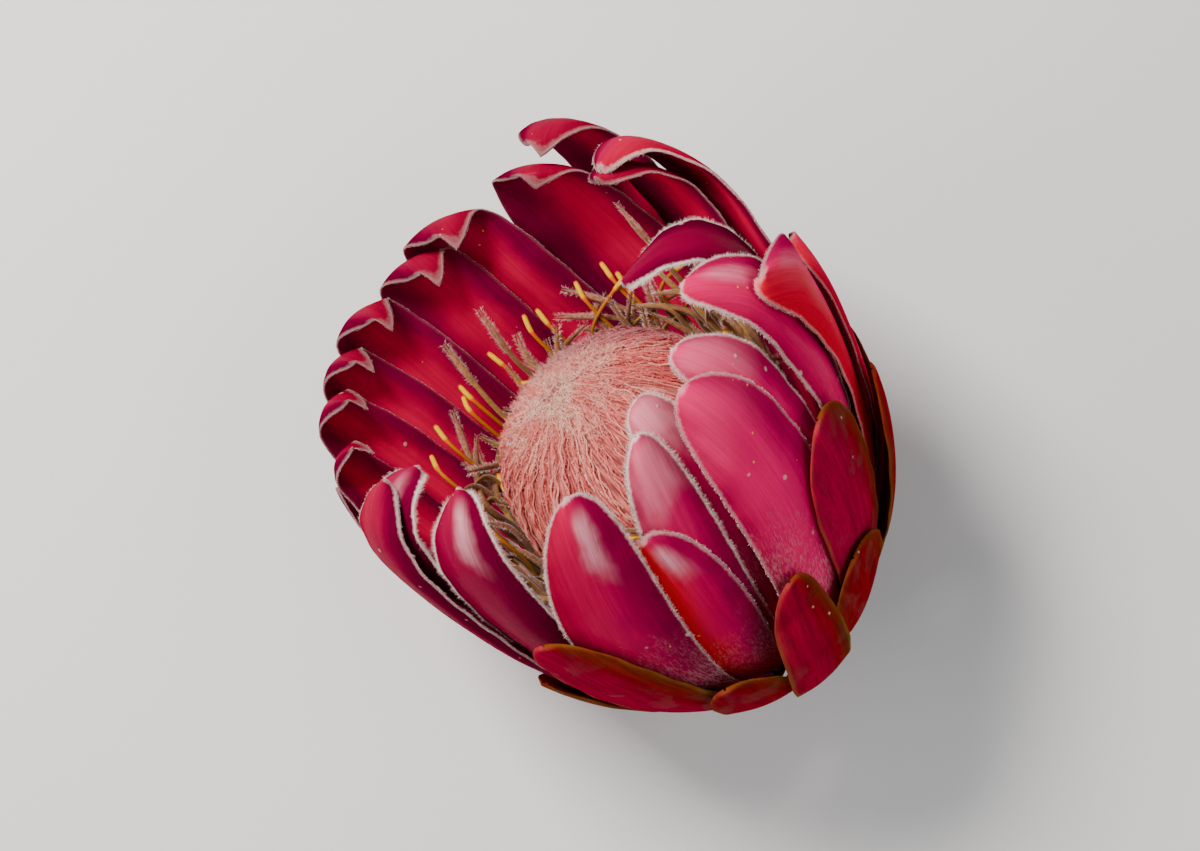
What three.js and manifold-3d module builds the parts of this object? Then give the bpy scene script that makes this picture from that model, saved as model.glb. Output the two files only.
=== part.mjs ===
// A single cut protea flower head, in millimetres, lying on its side on a flat surface.
// The head is modelled round its own axis (mouth towards +Z) and laid down at the end.
import * as THREE from "three";
import { ConvexHull } from "three/addons/math/ConvexHull.js";
import { mergeVertices } from "three/addons/utils/BufferGeometryUtils.js";
import Module from "manifold-3d";

const wasm = await Module();
wasm.setup();

// Driving dimensions.

// Outline of the head from the stem to the overhanging rim: radius and height.
const OUTLINE = [
  [4.5, 0], [12, 1.6], [20, 6], [28, 13.5], [34, 23.5], [37.6, 36], [39, 48], [39.3, 58],
  [38.6, 66], [35.8, 72], [30.5, 75.2], [25, 75.2], [19.5, 73.2], [14.5, 69.6],
];
const OUTLINE_SAMPLES = 240;
const RIM_TILT = 0.07;        // the rim is higher on the far side (-X)
const SIDE_NARROWING = 0.07;  // the -Y side is a little flatter
const BASE_NARROWING = 0.08;  // the base is drawn in on the +Y side
const SIDE_FULLNESS = 0.045;  // the +Y side is fuller near the rim

const BRACT_ROOT = 14.3;      // arc length at which the large bracts start
const BRACT_BULGE = 0.6;      // how far the margins turn in
const BRACT_MIDDLE = 0.9;     // thickness along the middle
const BRACT_EDGE = 0.68;      // thickness at the margins
const BRACT_CLAW = 2.2;       // half width at the root
const BASAL_CLAW = 1.6;
const WIDEST_AT = 0.6;        // share of the length where a bract is widest
const TIP_FULLNESS = 2.4;     // the higher, the blunter the tip
const BASAL_FULLNESS = 3.2;
const LAYER_GAP = 0.45;       // clear air between bracts that lie on each other
const CURL_LENGTH = 7;        // the tip that rolls inward

// Large bracts from the outermost inward. Azimuths in degrees at the tip, at
// arc length 60 and at 30; arc length of the tip; half width; depth inside the
// outline; sideways slope; outward lift of the upper third; inward curl of the tip.
const LARGE_BRACTS = [
  ["right_bract_2", 92, 90, 84, 62, 8.0, -3.0, 1.0, -1, 0],
  ["right_bract_1", 49, 71.5, 61, 80, 10.8, -1.6, 0.4, 0, 0],
  ["right_bract_3", 108, 93, 88, 95, 9.0, 0.0, 0, 0, 3],
  ["near_bract_1", 18.5, 17.5, 3, 84, 8.8, 0.6, 0, 0, 0],
  ["near_bract_4", -16, -33, -42, 86, 9.8, 0.6, 0, 0, 0],
  ["left_bract_3", -75, -80, -84, 98, 8.5, 0.6, 0, 0, 0],
  ["far_bract_2", 127, 123, 120, 95.5, 9.0, 0.2, 1.0, -4.3, 2],
  ["under_bract_1", 152, 150, 150, 76, 9.5, 0.0, 1.0, -2, 0],
  ["under_bract_2", 178, 176, 176, 84, 9.5, 0.0, 1.0, -2, 0],
  ["under_bract_3", 203, 201, 201, 82, 9.5, 0.0, 1.0, -2, 0],
  ["under_bract_4", 228, 227, 227, 80, 9.5, 0.0, 1.0, -2, 0],
  ["left_bract_4", 248, 252, 250, 84, 7.5, 0.5, 1.0, 0, 0],
  ["right_bract_4", 41, 54, 40, 91, 7.5, 1.2, 0, 0, 0],
  ["near_bract_5", -12, -15, -26, 71, 8.5, 2.6, 0, 0, 0],
  ["near_bract_6", 26, 30, 15, 88, 7.0, 2.6, 0, 0, 0],
  ["left_bract_1", -44, -59, -69, 97, 8.0, 1.8, 0, 0, 0],
  ["near_bract_3", 5, -8, -18, 84, 6.8, 4.0, 0, 0, 0],
  ["near_bract_2", 12, 4, -10, 89, 7.0, 5.0, 0, 0, 0],
  ["left_bract_2", -74, -80, -84, 104, 8.0, 2.6, 0, -3, 1],
  ["right_bract_5", 51, 63.3, 57.5, 105, 5.3, 2.6, 0, 0, 0],
  ["right_bract_6", 109, 106, 104, 97, 9.0, 2.0, 0, -1, 0],
  ["far_bract_1", 133.5, 136.5, 138, 97.5, 14.0, 1.2, 1.4, -5, 1.5],
  ["far_bract_3", 167, 167, 168, 96, 11.5, 3.0, 1.6, -4.5, 3.4],
  ["far_bract_4", 179, 182, 183, 96, 10.5, 3.0, 1.6, -4.5, 4],
  ["far_bract_5", 200, 202, 203, 97, 9.5, 3.0, 1.6, -5, 4],
  ["far_bract_6", 216, 215, 215, 96, 8.5, 3.0, 1.6, -5.5, 4],
  ["far_bract_7", 231, 229, 229, 96, 8.5, 3.0, 1.6, -4, 4],
  ["left_bract_5", 246, 247, 246, 93, 8.5, 3.0, 1.6, -3, 4],
];

// Small bracts round the base, from the innermost outward. Azimuths at the tip
// and at the root, arc length of the tip, half width, depth, arc length of the root.
const BASAL_BRACTS = [
  ["basal_bract_1", -50, -45, 65, 8.2, -1.2, 9],
  ["basal_bract_2", 95, 95, 46, 9.0, -1.2, 9],
  ["basal_bract_3", 165, 165, 58, 10.0, -1.2, 9],
  ["basal_bract_4", 240, 240, 58, 10.0, -1.2, 9],
  ["basal_bract_5", 64, 56, 48, 7.0, -1.2, 9],
  ["basal_bract_6", 34, 26, 60, 9.5, -1.2, 9],
  ["basal_bract_7", 19, 18, 38, 9.0, -1.2, 5],
  ["basal_bract_8", -28, -30, 40, 6.5, -1.6, 5],
  ["basal_bract_9", 3, -15, 48.5, 5.5, -1.6, 5],
  ["basal_bract_10", 130, 130, 46, 9.0, -1.6, 5],
  ["basal_bract_11", 203, 203, 46, 9.0, -1.6, 5],
  ["basal_bract_12", 278, 278, 47, 8.0, -1.6, 5],
];

// Receptacle: the woody seat that carries every bract and floret.
const STEM_RADIUS = 4.4;
const STEM_DEPTH = 7;
const SEAT_TOP = 13.6;
const SEAT_RADIUS = 14.2;
const SKIN_DEPTH = 0.45;      // the seat's outside, just under the basal bracts
const COLLAR_DEPTH = 6.8;     // how deep the bracts' roots are stacked
const SEAT_EDGE = 0.4;        // air between the seat's end face and the bracts' roots

// Closed florets, combed together into one dome: radius and height.
const DOME = [
  [12.6, 14.0], [13.8, 16.8], [17.3, 21.5], [20.3, 27], [21.7, 34], [21.4, 41], [19.5, 48.0],
  [15.5, 53.2], [10.2, 56.6], [5.0, 58.3], [1.6, 58.8],
];
const DOME_STRANDS = 24;
const DOME_RELIEF = 0.35;
const DOME_SWIRL = 0.5;       // turn of the strands at the tip, radians

// Open florets: a ring of slender tubes between the dome and the bracts.
const RING_INNER = 14.5;
const RING_OUTER = 16.6;
const RING_BOTTOM = 14.0;
const RING_TOP = 16.2;
const FLORET_BASE = 0.95;
const FLORET_TIP = 0.4;
const LOOSE_FLORETS = 21;
// Florets that stand out in front of the far bracts: azimuth, tip radius, tip height.
const PLACED_FLORETS = [
  [197.5, 28.2, 53.5], [201, 27.5, 50], [176.5, 28.3, 55], [168.5, 28.3, 54.5], [149, 28.3, 52.5],
  [134, 28.4, 53.5], [217, 28, 56], [231, 28, 56.7], [182, 28, 61], [191.5, 28, 62.5],
  [114, 28, 66], [126, 28, 60],
];
const SEED = 41;

// The cut head lies on its far side. Its weight presses the underside flat, and from
// there it settles on the nearest three points of contact.
const DOWN = [-0.836, -0.045, -0.547];
const FLAT_AT = 16.2;         // distance of the flat spot from the stem's end
const FLAT_LAYER = -2;        // depth at which the flat spot is measured
const FLAT_BLEND = 0.4;

const DENSITY = { leather: 0.9, fabric: 0.3, wood: 0.6 };

const BRACT_RED = new THREE.MeshStandardMaterial({ color: 0xa3122e, roughness: 0.4, metalness: 0 });
const BASAL_RED = new THREE.MeshStandardMaterial({ color: 0x8c2317, roughness: 0.5, metalness: 0 });
const SEAT_BROWN = new THREE.MeshStandardMaterial({ color: 0x5d4325, roughness: 0.8, metalness: 0 });
const DOME_PINK = new THREE.MeshStandardMaterial({ color: 0xd39a91, roughness: 0.9, metalness: 0 });
const FLORET_GOLD = new THREE.MeshStandardMaterial({ color: 0xa8651c, roughness: 0.7, metalness: 0 });

// Small helpers.

const clamp = (x, low = 0, high = 1) => Math.min(high, Math.max(low, x));
const ease = (x) => clamp(x) ** 2 * (3 - 2 * clamp(x));
const radians = (degrees) => (degrees * Math.PI) / 180;

/** A repeatable stream of numbers from 0 to 1. */
function seeded(seed) {
  let state = seed >>> 0;
  return () => {
    state = (state + 0x6d2b79f5) >>> 0;
    let t = Math.imul(state ^ (state >>> 15), 1 | state);
    t = (t + Math.imul(t ^ (t >>> 7), 61 | t)) ^ t;
    return ((t ^ (t >>> 14)) >>> 0) / 4294967296;
  };
}

/** Value at x of a line through evenly ordered samples, held at its ends. */
function between(xs, ys, x) {
  const last = xs.length - 1;
  if (x <= xs[0]) return ys[0];
  if (x >= xs[last]) return ys[last];
  let low = 0;
  let high = last;
  while (high - low > 1) {
    const middle = (low + high) >> 1;
    if (xs[middle] <= x) low = middle;
    else high = middle;
  }
  const share = (x - xs[low]) / (xs[high] - xs[low]);
  return ys[low] + (ys[high] - ys[low]) * share;
}

/** A smooth line through hand-set points of a half section. */
function smoothLine(points, count) {
  const curve = new THREE.CatmullRomCurve3(
    points.map(([r, z]) => new THREE.Vector3(r, 0, z)), false, "catmullrom", 0.5,
  );
  curve.arcLengthDivisions = 2000;
  return curve.getSpacedPoints(count - 1).map((p) => [p.x, p.z]);
}

// The head's outline.

const line = smoothLine(OUTLINE, OUTLINE_SAMPLES);
const arc = [0];
for (let i = 1; i < line.length; i += 1) {
  arc.push(arc[i - 1] + Math.hypot(line[i][0] - line[i - 1][0], line[i][1] - line[i - 1][1]));
}
const outlineR = line.map((p) => p[0]);
const outlineZ = line.map((p) => p[1]);
const insideR = [];
const insideZ = [];
for (let i = 0; i < line.length; i += 1) {
  const a = line[Math.max(0, i - 1)];
  const b = line[Math.min(line.length - 1, i + 1)];
  const length = Math.hypot(b[0] - a[0], b[1] - a[1]);
  insideR.push(-(b[1] - a[1]) / length);
  insideZ.push((b[0] - a[0]) / length);
}

/** Radius and height at an arc length, a given depth inside the outline. */
function section(s, depth) {
  return [
    between(arc, outlineR, s) + between(arc, insideR, s) * depth,
    between(arc, outlineZ, s) + between(arc, insideZ, s) * depth,
  ];
}

/** The head is not quite round: its rim tilts and one side is flatter. */
function settle(x, y, z) {
  const side = ease(-y / 25);
  const narrow = BASE_NARROWING * ease((48 - z) / 34) * ease(y / 15);
  const base = 1 - narrow + SIDE_FULLNESS * ease((z - 46) / 16) * ease(y / 25);
  return [x * base, y * base * (1 - SIDE_NARROWING * side), z * (1 - (RIM_TILT * x * base) / 40)];
}

function roundPoint(s, depth, azimuth) {
  const [r, z] = section(s, depth);
  const a = radians(azimuth);
  return settle(r * Math.cos(a), r * Math.sin(a), z);
}

/** All layers give way together where the outside would reach below the flat spot. */
function headPoint(s, depth, azimuth) {
  const outside = roundPoint(s, FLAT_LAYER, azimuth);
  const excess = outside[0] * DOWN[0] + outside[1] * DOWN[1] + outside[2] * DOWN[2] - FLAT_AT;
  const give = (excess + Math.hypot(excess, FLAT_BLEND)) / 2;
  return roundPoint(s, depth, azimuth).map((x, i) => x - give * DOWN[i]);
}

// Bracts.

const bracts = [
  ...LARGE_BRACTS.map(([name, tip, middle, low, length, width, depth, skew, lift, curl]) => ({
    name, tip, middle, low, length, width, depth, skew, lift, curl, basal: false, root: BRACT_ROOT,
  })),
  ...BASAL_BRACTS.map(([name, tip, low, length, width, depth, root]) => ({
    name, tip, middle: tip, low, length, width, depth, skew: 0, lift: 0, curl: 0, basal: true, root,
  })),
];

const radiusAt = (s) => Math.max(section(s, 0)[0], 5);
const crowding = (s) => 0.6 + 0.4 * ease((s - 10) / 40);

/** Half width at a share of the length. */
function halfWidth(bract, share) {
  const claw = (bract.basal ? BASAL_CLAW : BRACT_CLAW) / bract.width;
  if (share < WIDEST_AT) {
    const swell = Math.sin((clamp(share / WIDEST_AT) * Math.PI) / 2) ** 1.2;
    return bract.width * (claw + (1 - claw) * swell);
  }
  const x = clamp((share - WIDEST_AT) / (1 - WIDEST_AT));
  const fullness = bract.basal ? BASAL_FULLNESS : TIP_FULLNESS;
  return bract.width * Math.sqrt(Math.max(0, 1 - x ** fullness));
}

/** Azimuth of the middle line. */
function middleLine(bract, s) {
  const { tip, middle, low, length } = bract;
  if (bract.basal) return low + (tip - low) * clamp((s - 15) / (length - 15));
  const x = Math.max(s, 30);
  const atLow = ((x - 60) * (x - length)) / ((30 - 60) * (30 - length));
  const atMiddle = ((x - 30) * (x - length)) / ((60 - 30) * (60 - length));
  const atTip = ((x - 30) * (x - 60)) / ((length - 30) * (length - 60));
  return low * atLow + middle * atMiddle + tip * atTip;
}

/** Depth of the bract's own form beyond its layer, v from one margin (-1) to the other (1). */
function form(bract, s, v) {
  const share = (s - bract.root) / (bract.length - bract.root);
  const curl = clamp((s - (bract.length - CURL_LENGTH)) / CURL_LENGTH);
  return (
    (BRACT_BULGE * v * v - bract.skew * v) * crowding(s) +
    bract.lift * ease((share - 0.7) / 0.3) +
    bract.curl * curl * curl
  );
}

/** Thickness along the depth, a little more where the form slopes. */
function thickness(bract, s, v) {
  const slope = form(bract, Math.min(s + 0.5, bract.length), v) - form(bract, s - 0.5, v);
  const flat = BRACT_EDGE + (BRACT_MIDDLE - BRACT_EDGE) * (1 - v * v);
  return flat * Math.min(1.5, Math.hypot(1, slope));
}

const layerDepth = (bract, s) => between(bract.layerAt, bract.layer, s) * crowding(s);

/** Stacks the bracts: each lies clear of those already in place. */
function nest() {
  const rows = 60;
  const across = 21;
  const reach = 5;
  bracts.forEach((bract, index) => {
    const way = bract.basal ? -1 : 1;
    const stations = [];
    const need = [];
    for (let i = 0; i < rows; i += 1) {
      const share = i / (rows - 1);
      const s = bract.root + (bract.length - bract.root) * share;
      const radius = radiusAt(s);
      const centre = middleLine(bract, s);
      const wide = halfWidth(bract, share);
      let deepest = way * bract.depth;
      for (const other of bracts.slice(0, index)) {
        const otherShare = (s - other.root) / (other.length - other.root);
        if (otherShare <= -0.02 || otherShare >= 1) continue;
        const otherCentre = middleLine(other, s);
        const otherWide = Math.max(halfWidth(other, clamp(otherShare)), 1e-6);
        for (let j = 0; j < across; j += 1) {
          const v = -1 + (2 * j) / (across - 1);
          const azimuth = centre + (v * wide * 180) / (Math.PI * radius);
          const apart = ((((azimuth - otherCentre + 180) % 360) + 360) % 360) - 180;
          const w = (radians(apart) * radius) / otherWide;
          if (Math.abs(apart) >= 90 || Math.abs(w) >= 1 + 0.4 / Math.max(otherWide, 0.4)) continue;
          const over = clamp(w, -1, 1);
          const face = layerDepth(other, s) + form(other, s, over);
          const own = form(bract, s, v);
          const clear = bract.basal
            ? -(face - LAYER_GAP - thickness(bract, s, v) - own) / crowding(s)
            : (face + thickness(other, s, over) + LAYER_GAP - own) / crowding(s);
          deepest = Math.max(deepest, clear);
        }
      }
      stations.push(s);
      need.push(deepest);
    }
    const held = (i) => clamp(i, 0, rows - 1);
    const window = Array.from({ length: 2 * reach + 1 }, (_, k) => k - reach);
    const high = need.map((_, i) => Math.max(...window.map((k) => need[held(i + k)])));
    const even = high.map(
      (_, i) => window.reduce((sum, k) => sum + high[held(i + k)], 0) / window.length,
    );
    bract.layerAt = stations;
    bract.layer = even.map((depth) => way * depth);
  });
}

// All bracts break at the same arc lengths, so that neighbours keep their gap.
const STATIONS = [7, 10.5, 14.3, 18.5, 23, 28, 34, 40, 47, 54, 61, 67, 72, 76, 80, 84, 88, 92, 96];
const ACROSS = [-1, -0.5, 0, 0.5, 1];
const TIP_HALF_WIDTH = 0.8;

function bractGeometry(bract) {
  const { root, length } = bract;
  const inner = STATIONS.filter((s) => s > root + 1.2 && s < length - 7.2);
  const rows = [root, ...inner, length - 6, length - 3, length - 1.2, length];
  const outside = [];
  const inside = [];
  for (const s of rows) {
    const wide = Math.max(halfWidth(bract, (s - root) / (length - root)), TIP_HALF_WIDTH);
    for (const v of ACROSS) {
      const azimuth = middleLine(bract, s) + (v * wide * 180) / (Math.PI * radiusAt(s));
      const depth = layerDepth(bract, s) + form(bract, s, v);
      outside.push(headPoint(s, depth, azimuth));
      inside.push(headPoint(s, depth + thickness(bract, s, v), azimuth));
    }
  }
  const points = [...outside, ...inside];
  const columns = ACROSS.length;
  const shift = outside.length;
  const triangles = [];
  const quad = (a, b, c, d) => triangles.push([a, b, c], [a, c, d]);
  for (let i = 0; i < rows.length - 1; i += 1) {
    for (let j = 0; j < columns - 1; j += 1) {
      const a = i * columns + j;
      quad(a, a + 1, a + columns + 1, a + columns);
      quad(shift + a, shift + a + columns, shift + a + columns + 1, shift + a + 1);
    }
    const left = i * columns;
    const right = left + columns - 1;
    quad(left, left + columns, shift + left + columns, shift + left);
    quad(right, shift + right, shift + right + columns, right + columns);
  }
  const top = (rows.length - 1) * columns;
  for (let j = 0; j < columns - 1; j += 1) {
    quad(j, shift + j, shift + j + 1, j + 1);
    quad(top + j, top + j + 1, shift + top + j + 1, shift + top + j);
  }
  return closedGeometry(points, triangles);
}

// Closed bodies.

/** A body from points and triangles, turned so that its faces point out. */
function closedGeometry(points, triangles) {
  let volume = 0;
  for (const [a, b, c] of triangles) {
    const [p, q, r] = [points[a], points[b], points[c]];
    volume += p[0] * (q[1] * r[2] - q[2] * r[1]) + p[1] * (q[2] * r[0] - q[0] * r[2])
      + p[2] * (q[0] * r[1] - q[1] * r[0]);
  }
  const faces = volume < 0 ? triangles.map(([a, b, c]) => [a, c, b]) : triangles;
  const geometry = new THREE.BufferGeometry();
  geometry.setAttribute("position", new THREE.Float32BufferAttribute(points.flat(), 3));
  geometry.setIndex(faces.flat());
  geometry.computeVertexNormals();
  return geometry;
}

/** A body of stacked rings of points, closed by a point at each end. */
function ringsGeometry(rings, start, end) {
  const points = rings.flat();
  const count = rings[0].length;
  const triangles = [];
  for (let i = 0; i < rings.length - 1; i += 1) {
    for (let j = 0; j < count; j += 1) {
      const a = i * count + j;
      const b = i * count + ((j + 1) % count);
      triangles.push([a, b, b + count], [a, b + count, a + count]);
    }
  }
  const last = (rings.length - 1) * count;
  points.push(start, end);
  for (let j = 0; j < count; j += 1) {
    const next = (j + 1) % count;
    triangles.push([points.length - 2, next, j], [points.length - 1, last + j, last + next]);
  }
  return closedGeometry(points, triangles);
}

function turned(profile, count) {
  return profile.map(([r, z]) => Array.from({ length: count }, (_, j) => {
    const a = (2 * Math.PI * j) / count;
    return settle(r * Math.cos(a), r * Math.sin(a), z);
  }));
}

function asSolid(geometry) {
  const bare = geometry.clone();
  bare.deleteAttribute("normal");
  bare.deleteAttribute("uv");
  const merged = mergeVertices(bare, 1e-4);
  return new wasm.Manifold(new wasm.Mesh({
    numProp: 3,
    vertProperties: new Float32Array(merged.attributes.position.array),
    triVerts: new Uint32Array(merged.index.array),
  }));
}

function fromSolid(solid) {
  const mesh = solid.getMesh();
  const geometry = new THREE.BufferGeometry();
  geometry.setAttribute("position", new THREE.BufferAttribute(new Float32Array(mesh.vertProperties), 3));
  geometry.setIndex(new THREE.BufferAttribute(new Uint32Array(mesh.triVerts), 1));
  geometry.computeVertexNormals();
  return geometry;
}

// Receptacle with the stem's stub.

function receptacleGeometry() {
  const endOfSkin = BRACT_ROOT - SEAT_EDGE;
  const skin = [4, 6.5, 9, 11.5, endOfSkin].map((s) => section(s, SKIN_DEPTH));
  const [, skinStart] = skin[0];
  const profile = [
    [STEM_RADIUS, -STEM_DEPTH],
    [STEM_RADIUS - 0.3, -STEM_DEPTH / 2],
    [STEM_RADIUS, -0.6],
    [STEM_RADIUS + 1.2, skinStart - 0.7],
    ...skin,
    section(endOfSkin, COLLAR_DEPTH),
    [SEAT_RADIUS, SEAT_TOP - 0.8],
    [SEAT_RADIUS - 0.8, SEAT_TOP],
  ];
  return ringsGeometry(turned(profile, 28), [0, 0, -STEM_DEPTH], [0, 0, SEAT_TOP]);
}

// Dome of closed florets.

function domeGeometry() {
  const count = DOME_STRANDS * 3;
  const rows = smoothLine(DOME, 16);
  const rings = rows.map(([r, z], i) => {
    const share = i / (rows.length - 1);
    const turn = DOME_SWIRL * share ** 3;
    return Array.from({ length: count }, (_, j) => {
      const crest = j % 3 === 1 ? 1 : -0.5;
      const relief = DOME_RELIEF * crest * Math.min(1, r / 8);
      const a = (2 * Math.PI * j) / count + turn;
      return settle((r + relief) * Math.cos(a), (r + relief) * Math.sin(a), z);
    });
  });
  const [, base] = DOME[0];
  const [, top] = DOME[DOME.length - 1];
  return ringsGeometry(rings, settle(0, 0, base), settle(0, 0, top + 0.2));
}

// Open florets.

/** A slender three-sided tube from the ring up to its tip. */
function tubeGeometry(azimuth, tipRadius, tipHeight, lean) {
  const sides = 3;
  const path = new THREE.CatmullRomCurve3([
    [15.5, 15.0, 0], [19.6, 20.0, 0], [23.9, 26.5, 0.15], [25.5, 34, 0.35],
    [(25.5 + tipRadius) / 2, (34 + tipHeight) / 2, 0.65], [tipRadius, tipHeight, 1],
  ].map(([r, z, share]) => {
    const a = radians(azimuth + lean * share);
    return new THREE.Vector3(...settle(r * Math.cos(a), r * Math.sin(a), z));
  }));
  const steps = 6;
  const rings = [];
  for (let i = 0; i <= steps; i += 1) {
    const t = i / steps;
    const p = path.getPointAt(t);
    const along = path.getTangentAt(t);
    const outward = new THREE.Vector3(p.x, p.y, 0).normalize();
    const side = new THREE.Vector3().crossVectors(along, outward).normalize();
    const front = new THREE.Vector3().crossVectors(side, along).normalize();
    const radius = FLORET_BASE + (FLORET_TIP - FLORET_BASE) * t;
    rings.push(Array.from({ length: sides }, (_, j) => {
      const a = (2 * Math.PI * j) / sides;
      const q = p.clone().addScaledVector(side, radius * Math.cos(a));
      return q.addScaledVector(front, radius * Math.sin(a)).toArray();
    }));
  }
  return ringsGeometry(rings, path.getPointAt(0).toArray(), path.getPointAt(1).toArray());
}

function openFloretsGeometry() {
  const count = 36;
  const rim = (r, z) => turned([[r, z]], count)[0];
  const loop = [
    rim(RING_INNER, RING_BOTTOM), rim(RING_OUTER, RING_BOTTOM),
    rim(RING_OUTER, RING_TOP), rim(RING_INNER, RING_TOP),
  ];
  const triangles = [];
  for (let i = 0; i < loop.length; i += 1) {
    const here = i * count;
    const there = ((i + 1) % loop.length) * count;
    for (let j = 0; j < count; j += 1) {
      const next = (j + 1) % count;
      triangles.push([here + j, here + next, there + next], [here + j, there + next, there + j]);
    }
  }
  let solid = asSolid(closedGeometry(loop.flat(), triangles));
  const random = seeded(SEED);
  const florets = PLACED_FLORETS.map(([azimuth, r, z]) => [azimuth, r, z, (random() - 0.5) * 8]);
  for (let i = 0; i < LOOSE_FLORETS; i += 1) {
    const azimuth = (360 / LOOSE_FLORETS) * (i + 0.7 * (random() - 0.5));
    florets.push([azimuth, 26 + 2.6 * random(), 44 + 12 * random(), (random() - 0.5) * 14]);
  }
  for (const floret of florets) solid = solid.add(asSolid(tubeGeometry(...floret)));
  return fromSolid(solid);
}

// Assembly.

const head = new THREE.Group();
head.name = "flower_head";
const pieces = [];

function addPiece(name, geometry, material, density) {
  const mesh = new THREE.Mesh(geometry, material);
  mesh.name = name;
  head.add(mesh);
  pieces.push({ geometry, density });
}

nest();
addPiece("receptacle", receptacleGeometry(), SEAT_BROWN, DENSITY.wood);
addPiece("floret_dome", domeGeometry(), DOME_PINK, DENSITY.fabric);
addPiece("open_florets", openFloretsGeometry(), FLORET_GOLD, DENSITY.fabric);
for (const bract of bracts) {
  addPiece(bract.name, bractGeometry(bract), bract.basal ? BASAL_RED : BRACT_RED, DENSITY.leather);
}

// Lying down.

/** Centre of mass of all the pieces. */
function centreOfMass() {
  const sum = new THREE.Vector3();
  let mass = 0;
  const p = [new THREE.Vector3(), new THREE.Vector3(), new THREE.Vector3()];
  for (const { geometry, density } of pieces) {
    const { position } = geometry.attributes;
    const { array } = geometry.index;
    for (let i = 0; i < array.length; i += 3) {
      for (let k = 0; k < 3; k += 1) p[k].fromBufferAttribute(position, array[i + k]);
      const share = (density * p[0].dot(new THREE.Vector3().crossVectors(p[1], p[2]))) / 6;
      sum.addScaledVector(p[0], share / 4).addScaledVector(p[1], share / 4);
      sum.addScaledVector(p[2], share / 4);
      mass += share;
    }
  }
  return sum.divideScalar(mass);
}

/** Outward direction of the three-point face that the head settles on. */
function restingDirection() {
  const centre = centreOfMass();
  const points = [];
  for (const { geometry } of pieces) {
    const { position } = geometry.attributes;
    for (let i = 0; i < position.count; i += 1) {
      points.push(new THREE.Vector3().fromBufferAttribute(position, i).sub(centre));
    }
  }
  const hull = new ConvexHull().setFromPoints(points);
  let down = new THREE.Vector3(...DOWN).normalize();
  for (let step = 0; step < 50; step += 1) {
    let best = null;
    let nearest = Infinity;
    for (const face of hull.faces) {
      const facing = face.normal.dot(down);
      if (facing <= 1e-6) continue;
      const distance = face.constant / facing;
      if (distance < nearest) {
        nearest = distance;
        best = face;
      }
    }
    if (best.normal.distanceTo(down) < 1e-6) break;
    down = best.normal.clone();
  }
  return down;
}

const down = restingDirection();
const lay = new THREE.Quaternion().setFromUnitVectors(down, new THREE.Vector3(0, 0, -1));
const mouth = new THREE.Vector3(0, 0, 1).applyQuaternion(lay);
const yaw = new THREE.Quaternion().setFromAxisAngle(
  new THREE.Vector3(0, 0, 1), -Math.atan2(mouth.y, mouth.x),
);
head.quaternion.copy(yaw.multiply(lay));
head.updateMatrixWorld(true);

const box = new THREE.Box3().setFromObject(head, true);
const middle = box.getCenter(new THREE.Vector3());
head.position.set(-middle.x, -middle.y, -box.min.z);

const protea = new THREE.Group();
protea.name = "protea";
protea.add(head);

export default protea;
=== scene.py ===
"""A cut protea flower head lying on its side: crimson bracts, a combed dome and open florets."""

import math

import bpy
import numpy as np
from mathutils import Matrix, Quaternion, Vector


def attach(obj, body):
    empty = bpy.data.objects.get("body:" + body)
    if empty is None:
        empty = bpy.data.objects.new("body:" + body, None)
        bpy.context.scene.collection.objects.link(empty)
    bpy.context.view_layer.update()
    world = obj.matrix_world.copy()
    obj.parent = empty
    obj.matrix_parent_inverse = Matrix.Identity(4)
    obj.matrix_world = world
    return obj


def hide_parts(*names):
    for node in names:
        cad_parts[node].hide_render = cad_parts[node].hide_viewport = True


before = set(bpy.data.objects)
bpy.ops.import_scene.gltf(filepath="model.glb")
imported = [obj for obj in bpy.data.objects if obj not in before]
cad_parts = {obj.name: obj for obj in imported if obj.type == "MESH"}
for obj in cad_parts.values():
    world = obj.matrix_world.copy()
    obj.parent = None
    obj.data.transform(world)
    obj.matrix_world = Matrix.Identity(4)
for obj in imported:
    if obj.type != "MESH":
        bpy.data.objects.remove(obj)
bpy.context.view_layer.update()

MM = 0.001

# The head is described round its own axis, in millimetres, and laid down by this turn.
HEAD_TURN = Quaternion((0.0221509, 0.4705644, 0.0118178, 0.8820084))
HEAD_AT = Vector((-37.08997, 3.62970, 15.70426))
TURN = np.array(HEAD_TURN.to_matrix())

# The photograph's view: angle from the head's axis, distance and height looked at in mm, roll in
# degrees, lens in mm, and how far the frame is shifted.
VIEW_ANGLE = 60
VIEW_DISTANCE = 400
VIEW_HEIGHT = 35
VIEW_ROLL = 138.7
LENS = 78
SHIFT = (-0.0475, 0.0488)

# Outline and bracts, as in the solid model.

OUTLINE = [
    (4.5, 0), (12, 1.6), (20, 6), (28, 13.5), (34, 23.5), (37.6, 36), (39, 48), (39.3, 58),
    (38.6, 66), (35.8, 72), (30.5, 75.2), (25, 75.2), (19.5, 73.2), (14.5, 69.6),
]
RIM_TILT = 0.07
SIDE_NARROWING = 0.07
BASE_NARROWING = 0.08
SIDE_FULLNESS = 0.045

# The underside is pressed flat: the layer FLAT_LAYER reaches no further than FLAT_AT along DOWN.
DOWN = np.array([-0.836, -0.045, -0.547])
FLAT_AT = 16.2
FLAT_LAYER = -2
FLAT_BLEND = 0.4

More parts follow.
